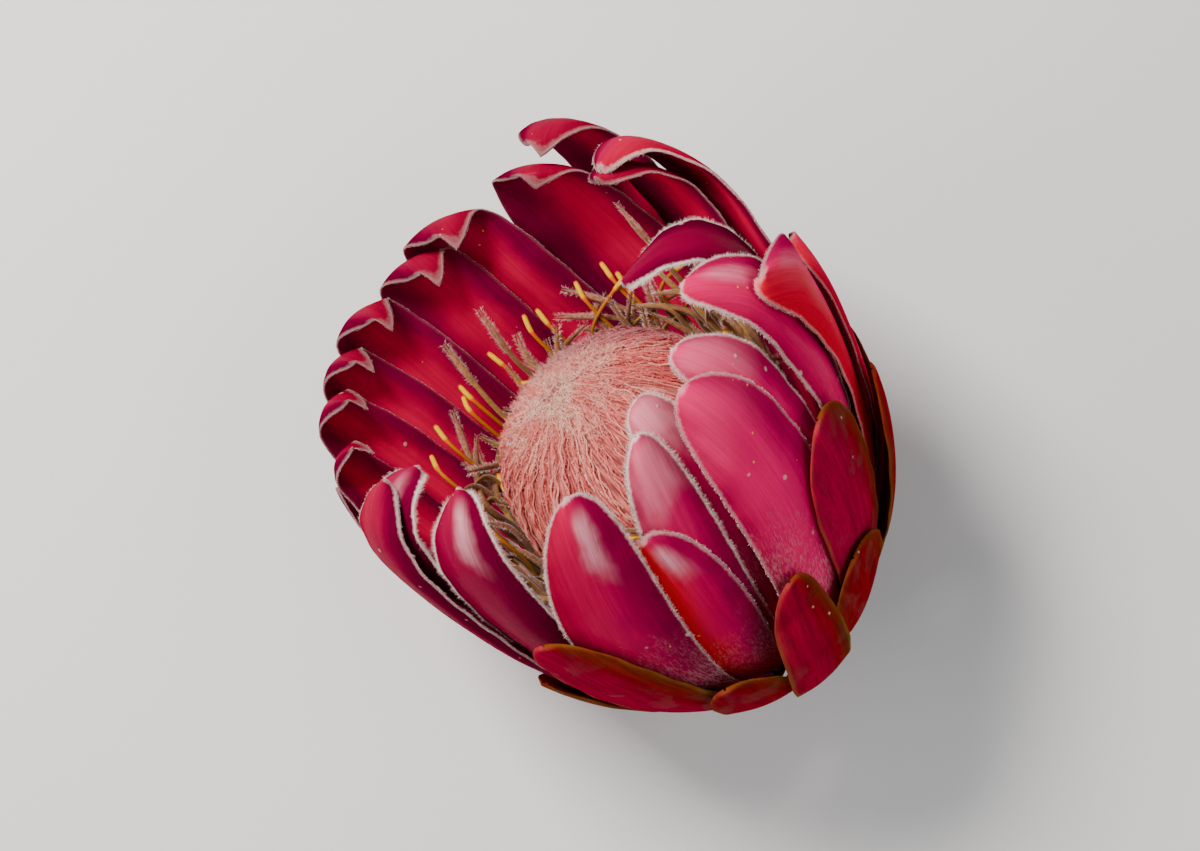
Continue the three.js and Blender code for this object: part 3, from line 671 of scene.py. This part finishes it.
BRACT_SKIN = material("bract_skin", paint_bract, Specular_IOR_Level=0.0, Coat_Roughness=0.22,
                      Specular_Tint=(1.0, 0.3, 0.4))
BASAL_SKIN = material("basal_skin", paint_basal, Specular_IOR_Level=0.0, Coat_Roughness=0.22,
                      Specular_Tint=(1.0, 0.4, 0.3))
WHITE_HAIR = material("white_hair", paint_hair, Sheen_Weight=0.3)
PINK_HAIR = material("pink_hair", paint_fuzz)
DOME_STRAND = material("dome_strand", paint_strand)
DOME_CORE = material("dome_core", paint_core)
STYLE_GOLD = material("style_gold", paint_style, Specular_IOR_Level=0.1)
AWN_BROWN = material("awn_brown", paint_awn, Sheen_Weight=0.3)
SEAT_BARK = material("seat_bark", paint_seat)
FLOOR_PALE = material("floor_pale", paint_floor)


# Meshes.


def placed(name, data):
    made = bpy.data.objects.new(name, data)
    bpy.context.scene.collection.objects.link(made)
    return made


def piece(name, points, faces, surface, notes=None, uv=None, edges=None):
    """A mesh object from head points in millimetres, with numbers stored on its points."""
    points = np.asarray(points, float)
    mesh = bpy.data.meshes.new(name)
    mesh.from_pydata(to_frame(points).tolist(), edges or [], turned_out(points, faces))
    for key, values in (notes or {}).items():
        values = np.asarray(values, np.float32)
        kind, field = ("FLOAT_VECTOR", "vector") if values.ndim == 2 else ("FLOAT", "value")
        mesh.attributes.new(key, kind, "POINT").data.foreach_set(field, values.ravel())
    if faces:
        uv = np.zeros((len(points), 2)) if uv is None else uv
        corners = np.empty(len(mesh.loops), np.int32)
        mesh.loops.foreach_get("vertex_index", corners)
        layer = mesh.uv_layers.new(name="UVMap")
        layer.data.foreach_set("uv", np.asarray(uv, np.float32)[corners].ravel())
    mesh.shade_smooth()
    mesh.update()
    if surface:
        mesh.materials.append(surface)
    return placed(name, mesh)


def finished(made):
    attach(made, "root")


def turned_out(points, faces):
    """The faces, reversed if the body is inside out."""
    volume = 0.0
    for face in faces:
        for b, c in zip(face[1:], face[2:]):
            volume += points[face[0]] @ np.cross(points[b], points[c])
    return [face[::-1] for face in faces] if volume < 0 else faces


def round_faces(rings, count):
    """Faces of a closed round body: the side between its rings, then its two ends."""
    faces = []
    for i in range(rings - 1):
        for k in range(count):
            a, b = i * count + k, i * count + (k + 1) % count
            faces.append([a, b, b + count, a + count])
    faces.append(list(range(count))[::-1])
    faces.append([(rings - 1) * count + k for k in range(count)])
    return faces


def sheet_faces(rows, columns):
    """Faces of a thin closed body: outer grid, then inner grid, then walls."""
    shift = rows * columns
    i, j = np.meshgrid(np.arange(rows - 1), np.arange(columns - 1), indexing="ij")
    a = (i * columns + j).ravel()
    outer = np.stack([a, a + 1, a + columns + 1, a + columns], 1)
    faces = outer.tolist() + (outer[:, [0, 3, 2, 1]] + shift).tolist()
    for i in range(rows - 1):
        left = i * columns
        right = left + columns - 1
        faces.append([left, left + columns, shift + left + columns, shift + left])
        faces.append([right, shift + right, shift + right + columns, right + columns])
    top = (rows - 1) * columns
    for j in range(columns - 1):
        faces.append([j, shift + j, shift + j + 1, j + 1])
        faces.append([top + j, top + j + 1, shift + top + j + 1, shift + top + j])
    return faces


ROWS = 50
COLUMNS = 21
TIP_CUP = 0.7
THINNEST = 0.35
GRAIN_STEP = 7.31


def bract_surface(bract, s, v, lower=0.0):
    """Head points of a bract and its half width there; lower is 0 outside and 1 inside."""
    share = bract.share(s)
    wide = np.maximum(bract.half_width(np.clip(share, 0, 1)), 0.25)
    azimuth = bract.middle_line(s) + np.degrees(v * wide / radius_at(s))
    cup = 0.0 if bract.basal else TIP_CUP
    depth = bract.layer_depth(s) + bract.form(s, v) + cup * v * v * ease((share - 0.78) / 0.22)
    ripple = 0.10 * v**4 * np.sin(s * 0.9 + bract.tip) + 0.06 * np.sin(s * 0.31 + bract.tip) * v
    thin = np.maximum(THINNEST, 1 - 0.55 * np.abs(v) ** 6 - 0.5 * ease((s - bract.length + 3) / 3))
    depth = depth + ripple + lower * bract.thickness(s, v) * thin
    return head_point(s, depth, azimuth), wide


def make_bract(bract, number):
    u = 1 - (1 - np.linspace(0, 1, ROWS)) ** 1.5
    u, v = np.meshgrid(u, np.sin(np.linspace(-1, 1, COLUMNS) * np.pi / 2), indexing="ij")
    s = bract.root + (bract.length - bract.root) * u
    outer, wide = bract_surface(bract, s, v, 0.0)
    inner = bract_surface(bract, s, v, 1.0)[0]
    points = np.vstack([outer.reshape(-1, 3), inner.reshape(-1, 3)])
    look = LOOKS.get(bract.name, DEFAULT_LOOK)
    if bract.basal:
        look = (BASAL_TONES.get(bract.name, PLAIN_BASAL_TONE), 0, 0, 0, 0)

    def both(field):
        """The same values on the outer and the inner face."""
        return np.tile(np.broadcast_to(field, u.shape).ravel(), 2)

    notes = {
        "across": both(v),
        "along": both(u),
        "across_mm": both(v * wide),
        "along_mm": both(s),
        "rim": both(np.minimum((1 - np.abs(v)) * wide, (bract.length - s) * 0.9)),
        "inside": np.repeat([0.0, 1.0], u.size),
        "which": both(number * GRAIN_STEP),
        **dict(zip(LOOK_NOTES, map(both, look))),
    }
    uv = np.stack([both(0.5 + v * wide / 40), both(s / 110)], 1)
    faces = sheet_faces(ROWS, COLUMNS)
    surface = BASAL_SKIN if bract.basal else BRACT_SKIN
    made = piece(bract.name + "_skin", points, faces, surface, notes, uv)
    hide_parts(bract.name)
    finished(made)


# Hairs and strands, grown by node trees along guide lines.


def tree_with(name, **inputs):
    """A geometry tree with named inputs: its graph, a wire from each, and its lines as curves."""
    tree = bpy.data.node_groups.new(name, "GeometryNodeTree")
    tree.interface.new_socket("Geometry", in_out="INPUT", socket_type="NodeSocketGeometry")
    for label, kind in inputs.items():
        tree.interface.new_socket(label, in_out="INPUT", socket_type="NodeSocket" + kind)
    tree.interface.new_socket("Geometry", in_out="OUTPUT", socket_type="NodeSocketGeometry")
    graph = Graph(tree)
    source = tree.nodes.new("NodeGroupInput")
    ports = {socket.name: Wire(graph, socket) for socket in source.outputs if socket.name}
    curve = graph.node("GeometryNodeMeshToCurve", {"Mesh": ports["Geometry"]})
    return graph, ports, curve


def end_tree(graph, geometry, surface):
    """Ends a tree in real geometry with its material."""
    real = graph.node("GeometryNodeRealizeInstances", {"Geometry": geometry})
    dressed = graph.node("GeometryNodeSetMaterial", {"Geometry": real, "Material": surface})
    output = graph.tree.nodes.new("NodeGroupOutput")
    graph.tree.links.new(dressed.socket, output.inputs[0])
    return graph.tree


def hair_tree():
    """Short hairs on guide lines, each leaning along a stored direction."""
    g, port, curve = tree_with(
        "short_hairs", Spacing="Float", Length="Float", Thickness="Float", Spread="Float",
        Scatter="Float", Seed="Int", Material="Material",
    )
    even = {"Curve": curve, "Length": port["Spacing"]}
    spots = g.node("GeometryNodeResampleCurve", even, mode="LENGTH")
    lean = g.node("GeometryNodeInputNamedAttribute", {"Name": "lean"}, data_type="FLOAT_VECTOR")
    amount = g.node("GeometryNodeInputNamedAttribute", {"Name": "amount"}, data_type="FLOAT")
    seed = port["Seed"]

    def chance(low, high, extra, kind="FLOAT", end="_001"):
        limits = {"Min" + end: low, "Max" + end: high, "Seed": seed + extra}
        return g.node("FunctionNodeRandomValue", limits, out="Value" + end, data_type=kind)

    def anyway(extra):
        return chance((-1, -1, -1), (1, 1, 1), extra, "FLOAT_VECTOR", "")

    scatter = anyway(3) * port["Scatter"]
    moved = g.node("GeometryNodeSetPosition", {"Geometry": spots, "Offset": scatter})
    lean = lean + anyway(1) * port["Spread"]
    way = g.node("FunctionNodeAlignRotationToVector", {"Vector": lean}, axis="Z")
    long = amount * port["Length"] * chance(0.45, 1.0, 2)
    wide = port["Thickness"] * chance(0.7, 1.2, 4)
    spike = {"Vertices": 3, "Side Segments": 1, "Radius Top": 0.0, "Radius Bottom": 1.0, "Depth": 1.0}
    hair = g.node("GeometryNodeMeshCone", spike, fill_type="NGON")
    spread = {"Points": moved, "Instance": hair, "Rotation": way, "Scale": g.joined(wide, wide, long)}
    return end_tree(g, g.node("GeometryNodeInstanceOnPoints", spread), port["Material"])


def strand_tree():
    """Round strands along guide lines, each as thick as the stored radius."""
    g, port, curve = tree_with("strands", Sides="Int", Flat="Float", Material="Material")
    thick = g.node("GeometryNodeInputNamedAttribute", {"Name": "radius"}, data_type="FLOAT")
    ring = g.node("GeometryNodeCurvePrimitiveCircle", {"Resolution": port["Sides"], "Radius": 1.0})
    flat = g.joined(1.0, port["Flat"], 1.0)
    ring = g.node("GeometryNodeTransform", {"Geometry": ring, "Scale": flat})
    tube = g.node("GeometryNodeCurveToMesh",
                  {"Curve": curve, "Profile Curve": ring, "Scale": thick, "Fill Caps": True})
    soft = g.node("GeometryNodeSetShadeSmooth", {"Geometry": tube})
    return end_tree(g, soft, port["Material"])


HAIRS = hair_tree()
STRANDS = strand_tree()


def guides(name, lines):
    """One object of separate open lines. Each line is (points, {key: values})."""
    points = np.vstack([line[0] for line in lines])
    edges = []
    start = 0
    for place, _ in lines:
        edges += [(start + i, start + i + 1) for i in range(len(place) - 1)]
        start += len(place)
    notes = {key: np.concatenate([line[1][key] for line in lines]) for key in lines[0][1]}
    if "lean" in notes:
        notes["lean"] = notes["lean"] @ TURN.T
    if "radius" in notes:
        notes["radius"] = notes["radius"] * MM
    return piece(name, points, [], None, notes, edges=edges)


def grown(name, lines, tree, slot, **values):
    """A piece that a node tree grows along guide lines, kept as a plain mesh."""
    made = guides(name, lines)
    modifier = made.modifiers.new("grow", "NODES")
    modifier.node_group = tree
    for item in tree.interface.items_tree:
        if item.item_type == "SOCKET" and item.in_out == "INPUT" and item.name in values:
            modifier[item.identifier] = values[item.name]
    made.update_tag()
    seen = made.evaluated_get(bpy.context.evaluated_depsgraph_get())
    mesh = bpy.data.meshes.new_from_object(seen)
    made.modifiers.remove(modifier)
    made.data = mesh
    finished(made)
    return made


FRINGE_FROM = 0.22
FRINGE_STEPS = 70
FRINGE_TIP_STEPS = 15
DENSE_SPACING = 0.075
LOOSE_SPACING = 0.14


def fringe_line(bract, s, v, rise=0.35):
    """A guide for hairs on a bract's margin."""
    here = bract_surface(bract, s, v, 0.5)[0]
    over = bract_surface(bract, s, v, -1.0)[0] - bract_surface(bract, s, v, 0.0)[0]
    towards = bract_surface(bract, s, v * 0.9, 0.5)[0]
    above = bract_surface(bract, np.minimum(s + 0.5, bract.length), v, 0.5)[0]
    up = above - bract_surface(bract, s - 0.5, v, 0.5)[0]
    tip = ease((s - bract.length + 5) / 5)[:, None]
    out = unit(here - towards) * (1 - tip * (1 - np.abs(v))[:, None])
    lean = unit(out + unit(over) * rise + unit(up) * (0.35 + tip * 0.9))
    amount = 0.35 + 0.65 * ease((bract.share(s) - 0.3) / 0.5)
    tufts = 0.82 + 0.22 * np.sin(s * 2.1 + v * 5) * np.sin(s * 0.77 + v * 11) + 0.12 * np.sin(s * 5.3)
    return here, {"lean": lean, "amount": amount * tufts}


def make_fringe(bract, number):
    felt = LOOKS.get(bract.name, DEFAULT_LOOK)[3]
    first = bract.root + (bract.length - bract.root) * FRINGE_FROM
    up = np.linspace(first, bract.length, FRINGE_STEPS)
    ones = np.ones(FRINGE_STEPS)
    across = np.linspace(-1, 1, FRINGE_TIP_STEPS)[1:-1]
    path_s = np.r_[up, np.full(len(across), bract.length), up[::-1]]
    path_v = np.r_[-ones, across, ones]
    lines = [fringe_line(bract, path_s, path_v)]
    if felt > 0.5:
        side = path_s < bract.length - 0.4
        lines.append(fringe_line(bract, path_s[side], path_v[side] * 0.965, 0.8))
    far = "far" in bract.name
    spacing = DENSE_SPACING if bract.name in LOOKS or far else LOOSE_SPACING
    fine = 0.7 if far else 1.0
    grown(bract.name + "_fringe", lines, HAIRS, "bract_red", Spacing=spacing * MM,
          Length=(0.20 + 0.90 * felt) * fine * MM, Thickness=0.03 * fine * MM, Spread=0.8,
          Scatter=0.12 * MM, Seed=number * 11, Material=WHITE_HAIR)


for number, bract in enumerate(BRACTS, 1):
    make_bract(bract, number)
    if not bract.basal:
        make_fringe(bract, number)


# Dome.

DOME_CENTRE = np.array([0, 0, 34.0])
STRAND_COUNT = 280
STRAND_POINTS = 52
STRAND_REACHES = (0.985, 0.90, 0.95, 0.86)
LOCK_COUNT = 56
CROWN_LINES = 150
CROWN_POINTS = 12
GOLDEN_ANGLE = 137.5


def dome_point(t, azimuth, out=0.0):
    """A point on the dome; t is 0 at the base and 1 at the top."""
    r, z = DOME_LINE.at(t * DOME_LENGTH, -out)
    return settled(np.maximum(r, 0.01), azimuth, z)


def make_core():
    count, rings = 72, 40
    t, j = np.meshgrid(np.linspace(0, 0.985, rings), np.arange(count), indexing="ij")
    points = dome_point(t, j * 360 / count, -0.55).reshape(-1, 3)
    faces = round_faces(rings, count)
    around = np.minimum(j, count - j) * 360 / count * 0.37
    notes = {"around": around.ravel().astype(float), "along": t.ravel()}
    made = piece("dome_core", points, faces, DOME_CORE, notes)
    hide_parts("floret_dome")
    finished(made)


def dome_lines():
    """Strands combed from the foot to the crown, drawn together into locks."""
    rng = np.random.default_rng(7)
    lines = []
    locks = np.arange(LOCK_COUNT) + rng.uniform(-0.4, 0.4, LOCK_COUNT)
    locks = np.sort(locks * 360 / LOCK_COUNT)
    for i in range(STRAND_COUNT):
        azimuth = (i + rng.uniform(-0.35, 0.35)) * 360 / STRAND_COUNT
        reach = STRAND_REACHES[i % 4] - rng.uniform(0, 0.05)
        t = np.linspace(0.14, reach, STRAND_POINTS)
        r = DOME_LINE.at(t * DOME_LENGTH)[0]
        aside = (locks - azimuth + 180) % 360 - 180
        lock = int(np.argmin(np.abs(aside)))
        pull = aside[lock]
        drawn = pull * 0.5 * np.sin(np.pi * np.clip((t - 0.05) / 0.8, 0, 1)) ** 0.8
        phase = lock * 2.4
        sway = 0.8 * np.sin(t * 6 + phase) + 0.5 * np.sin(t * 13 + phase) + 0.2 * np.sin(t * 31 + i)
        crimp = rng.uniform(0, 6.3)
        sway = sway + 0.55 * np.sin(t * rng.uniform(85, 120) + crimp)
        swirl = 26 * ease((t - 0.62) / 0.38) ** 2
        room = np.pi * r / STRAND_COUNT * (1.0 + 1.1 * ease((t - 0.7) / 0.25))
        radius = np.minimum(0.27, room) * (1 - 0.75 * ease((t - reach + 0.08) / 0.08))
        radius = radius * rng.uniform(0.65, 1.1)
        raise_by = rng.uniform(-0.7, 0.1) + 0.3 * np.sin(t * 9 + phase) - 0.12 * np.abs(pull)
        raise_by = raise_by + 0.16 * np.cos(t * 100 + crimp)
        points = dome_point(t, azimuth + drawn + (sway * 20) / np.maximum(r, 5) + swirl, raise_by)
        tone = np.full(STRAND_POINTS, np.clip(rng.normal(0.5, 0.28), 0, 1))
        lines.append((points, {"radius": np.maximum(radius, 0.08), "along": t, "tone": tone}))
    return lines


def make_dome():
    lines = dome_lines()
    grown("dome_strands", lines, STRANDS, "dome_pink", Sides=4, Flat=1.0, Material=DOME_STRAND)
    rng = np.random.default_rng(19)
    hairs = []
    for points, notes in lines:
        away = unit(points - DOME_CENTRE)
        up = unit(np.gradient(points, axis=0))
        crown = ease((notes["along"] - 0.55) / 0.35)
        lean = unit(away * (0.35 + 0.5 * crown)[:, None] + up * (1.0 - 0.6 * crown)[:, None])
        notes = {"lean": lean, "amount": 0.32 + 0.68 * crown, "along": notes["along"]}
        hairs.append((points + away * 0.15, notes))
    for i in range(CROWN_LINES):
        t = np.linspace(rng.uniform(0.72, 0.86), rng.uniform(0.93, 0.99), CROWN_POINTS)
        points = dome_point(t, i * GOLDEN_ANGLE + 60 * t, 0.1)
        lean = unit(points - DOME_CENTRE) + 0.5 * unit(np.gradient(points, axis=0))
        lean = unit(lean + rng.normal(0, 0.35, 3))
        hairs.append((points, {"lean": lean, "amount": np.ones(CROWN_POINTS), "along": t}))
    for part, name in enumerate(("dome_fuzz_a", "dome_fuzz_b")):
        grown(name, hairs[part::2], HAIRS, "dome_pink", Spacing=0.34 * MM, Length=1.25 * MM,
              Thickness=0.045 * MM, Spread=1.25, Scatter=0.3 * MM, Seed=501 + part,
              Material=PINK_HAIR)


make_core()
make_dome()


# Open florets.

RING_FLORETS = 126
STYLE_EVERY = 9
WIDE_EVERY = 3
LYING_STRAPS = 34
RING_POINTS = 40
SHOWN_POINTS = 60


def floret_path(tip, low, count):
    """From the ring at the dome's foot up between dome and bracts to the tip."""
    azimuth, r, z = low
    knots = np.array([
        (azimuth, 15.5, 15.4), (azimuth, 19.6, 20.0), (azimuth, 23.9, 26.5), (azimuth, 25.8, 33.5),
        (azimuth, min(r, 27.2), min(z - 4, 40.0)), low, tip,
    ], float)
    if z - 4 < 35:
        knots = np.delete(knots, 4, 0)
    line = smooth_line(knots, count)[0]
    return settled(line[:, 1], line[:, 0], line[:, 2])


def measured(points, radius, tone):
    """Notes for one floret line; ahead is the distance left to its tip."""
    step = np.linalg.norm(np.diff(points, axis=0), axis=1)
    ahead = np.r_[np.cumsum(step[::-1])[::-1], 0]
    return {"radius": radius(ahead), "ahead": ahead, "tone": np.full(len(points), tone)}


def style_radius(ahead):
    """A thin stalk, a thicker golden rod and its narrower end."""
    return 0.30 + 0.12 * ease((3.7 - ahead) / 0.3) - 0.08 * ease((0.4 - ahead) / 0.4)


def awn_radius(ahead):
    """A hairy tube that widens, then runs to a point."""
    return 0.42 + 0.14 * ease((9 - ahead) / 3) - 0.48 * ease((4.5 - ahead) / 4.5)


def strap_radius(ahead):
    """A plain strap with a narrow end."""
    return 0.46 - 0.36 * ease((5 - ahead) / 5)


def make_florets():
    """The listed florets, a ring of others, and straps that lie over them."""
    rng = np.random.default_rng(23)
    styles = [floret_path(tip, low, SHOWN_POINTS) for tip, low in STYLES]
    awns = [(floret_path(tip, low, SHOWN_POINTS), awn_radius) for tip, low in AWNS]
    for i in range(RING_FLORETS):
        azimuth = i * 360 / RING_FLORETS + rng.uniform(-2, 2)
        z = rng.uniform(34, 47)
        low = (azimuth, rng.uniform(24.2, 27.4), z)
        lean = rng.normal(0, 9)
        tip = (azimuth + lean, low[1] + rng.uniform(0.2, 1.8), z + rng.uniform(3, 7))
        path = floret_path(tip, low, RING_POINTS)
        if i % STYLE_EVERY == 0:
            styles.append(path)
        else:
            awns.append((path, awn_radius if i % WIDE_EVERY == 0 else strap_radius))
    for i in range(LYING_STRAPS):
        azimuth = rng.uniform(70, 300)
        turn = rng.choice([-1, 1]) * rng.uniform(14, 34)
        z = rng.uniform(40, 49)
        tip = (azimuth + turn, rng.uniform(26.5, 29.0), z + rng.uniform(0, 4))
        awns.append((floret_path(tip, (azimuth, 26.2, z), RING_POINTS), strap_radius))
    lines = [(points, measured(points, style_radius, 0)) for points in styles]
    made = grown("open_styles", lines, STRANDS, "floret_gold", Sides=8, Flat=1.0, Material=STYLE_GOLD)
    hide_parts("open_florets")
    lines = []
    hairs = []
    for points, radius in awns:
        hairy, reach, long = (1.0, 9, 1.0) if radius is awn_radius else (0.15, 5, 0.45)
        notes = measured(points, radius, rng.uniform(0, 1))
        notes["hairy"] = np.full(len(points), hairy)
        lines.append((points, notes))
        top = points[notes["ahead"] < reach]
        away = unit(top * np.array([1, 1, 0]))
        up = unit(np.gradient(top, axis=0))
        for side in (-1, 1):
            aside = unit(np.cross(away, up)) * side
            lean = unit(aside + 0.6 * up)
            hairs.append((top + aside * 0.35, {"lean": lean, "amount": np.full(len(top), long)}))
    grown("open_perianths", lines, STRANDS, "floret_gold", Sides=6, Flat=0.5, Material=AWN_BROWN)
    grown("perianth_fuzz", hairs, HAIRS, "floret_gold", Spacing=0.12 * MM, Length=0.95 * MM,
          Thickness=0.026 * MM, Spread=0.6, Scatter=0.12 * MM, Seed=702, Material=WHITE_HAIR)


make_florets()


# Receptacle.

SEAT_STEPS = 6
SEAT_SIDES = 96


def make_seat():
    skin = [HEAD_LINE.at(s, 0.45) for s in (4, 6.5, 9, 11.5, 13.9)]
    knots = [
        (4.4, -7), (4.1, -3.5), (4.4, -0.6), (5.6, skin[0][1] - 0.7), *skin, HEAD_LINE.at(13.9, 6.8),
        (14.2, 12.8), (13.4, 13.6),
    ]
    profile = []
    for (r0, z0), (r1, z1) in zip(knots, knots[1:]):
        for k in range(SEAT_STEPS):
            profile.append((r0 + (r1 - r0) * k / SEAT_STEPS, z0 + (z1 - z0) * k / SEAT_STEPS))
    profile.append(knots[-1])
    profile = [(0.6, -7.0), (3.9, -7.0)] + profile + [(8, 13.6), (1.0, 13.6)]
    rng = np.random.default_rng(3)
    points = []
    angle = np.arange(SEAT_SIDES) * 360 / SEAT_SIDES
    for r, z in profile:
        rough = 1 + 0.012 * np.sin(angle * 0.21 + z * 2) + rng.uniform(-0.006, 0.006, SEAT_SIDES)
        points.append(settled(r * rough, angle, z))
    points = np.vstack(points)
    faces = round_faces(len(profile), SEAT_SIDES)
    made = piece("receptacle_bark", points, faces, SEAT_BARK)
    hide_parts("receptacle")
    finished(made)


make_seat()


# Floor, lights and camera.

FLOOR_REACH = 3


def make_floor():
    mesh = bpy.data.meshes.new("floor")
    corners = [(x * FLOOR_REACH, y * FLOOR_REACH, 0) for x, y in ((-1, -1), (1, -1), (1, 1), (-1, 1))]
    mesh.from_pydata(corners, [], [(0, 1, 2, 3)])
    mesh.materials.append(FLOOR_PALE)
    placed("floor", mesh)


def view_axes():
    """The camera's place, and its right, up and back directions, in the row frame."""
    turn = math.radians(VIEW_ANGLE)
    back = Vector((math.sin(turn), 0, math.cos(turn)))
    axis = Vector((0, 0, 1))
    up = (axis - axis.dot(back) * back).normalized()
    roll = math.radians(VIEW_ROLL - 90)
    up = (math.sin(roll) * (-back).cross(up) + math.cos(roll) * up).normalized()
    right = up.cross(back)
    look = Vector((0, 0, VIEW_HEIGHT))
    place = look + VIEW_DISTANCE * back
    turn = HEAD_TURN.to_matrix()
    return (turn @ place + HEAD_AT) * MM, turn @ right, turn @ up, turn @ back


PLACE, RIGHT, UP, BACK = view_axes()


def make_camera():
    data = bpy.data.cameras.new("camera")
    data.lens = LENS
    data.sensor_width = 36
    data.clip_start = 0.01
    data.shift_x, data.shift_y = SHIFT
    made = placed("camera", data)
    made.matrix_world = Matrix.Translation(PLACE) @ Matrix((RIGHT, UP, BACK)).transposed().to_4x4()
    bpy.context.scene.camera = made


def make_light(name, aside, above, towards, size, power, tint=(1, 1, 1)):
    """A soft panel placed by the view's directions, aimed at the head."""
    centre = (HEAD_TURN.to_matrix() @ Vector((0, 0, 40)) + HEAD_AT) * MM
    place = centre + RIGHT * aside + UP * above + BACK * towards
    data = bpy.data.lights.new(name, "AREA")
    data.shape = "SQUARE"
    data.size = size
    data.energy = power
    data.color = tint
    made = placed(name, data)
    made.location = place
    made.rotation_euler = (place - centre).to_track_quat("Z", "Y").to_euler()


def make_world():
    world = bpy.data.worlds.new("studio")
    world.use_nodes = True
    shade = world.node_tree.nodes["Background"]
    shade.inputs["Color"].default_value = (0.92, 0.95, 1.0, 1)
    shade.inputs["Strength"].default_value = 0.22
    bpy.context.scene.world = world


make_floor()
make_camera()
make_light("key", -0.26, 0.26, 0.40, 0.18, 4.6, (1.0, 0.97, 0.93))
make_light("fill", 0.45, -0.12, 0.45, 0.50, 1.3, (0.95, 0.97, 1.0))
make_light("glow", -0.45, -0.1, 0.30, 0.35, 1.0, (1.0, 0.95, 0.95))
make_world()

bpy.context.view_layer.update()
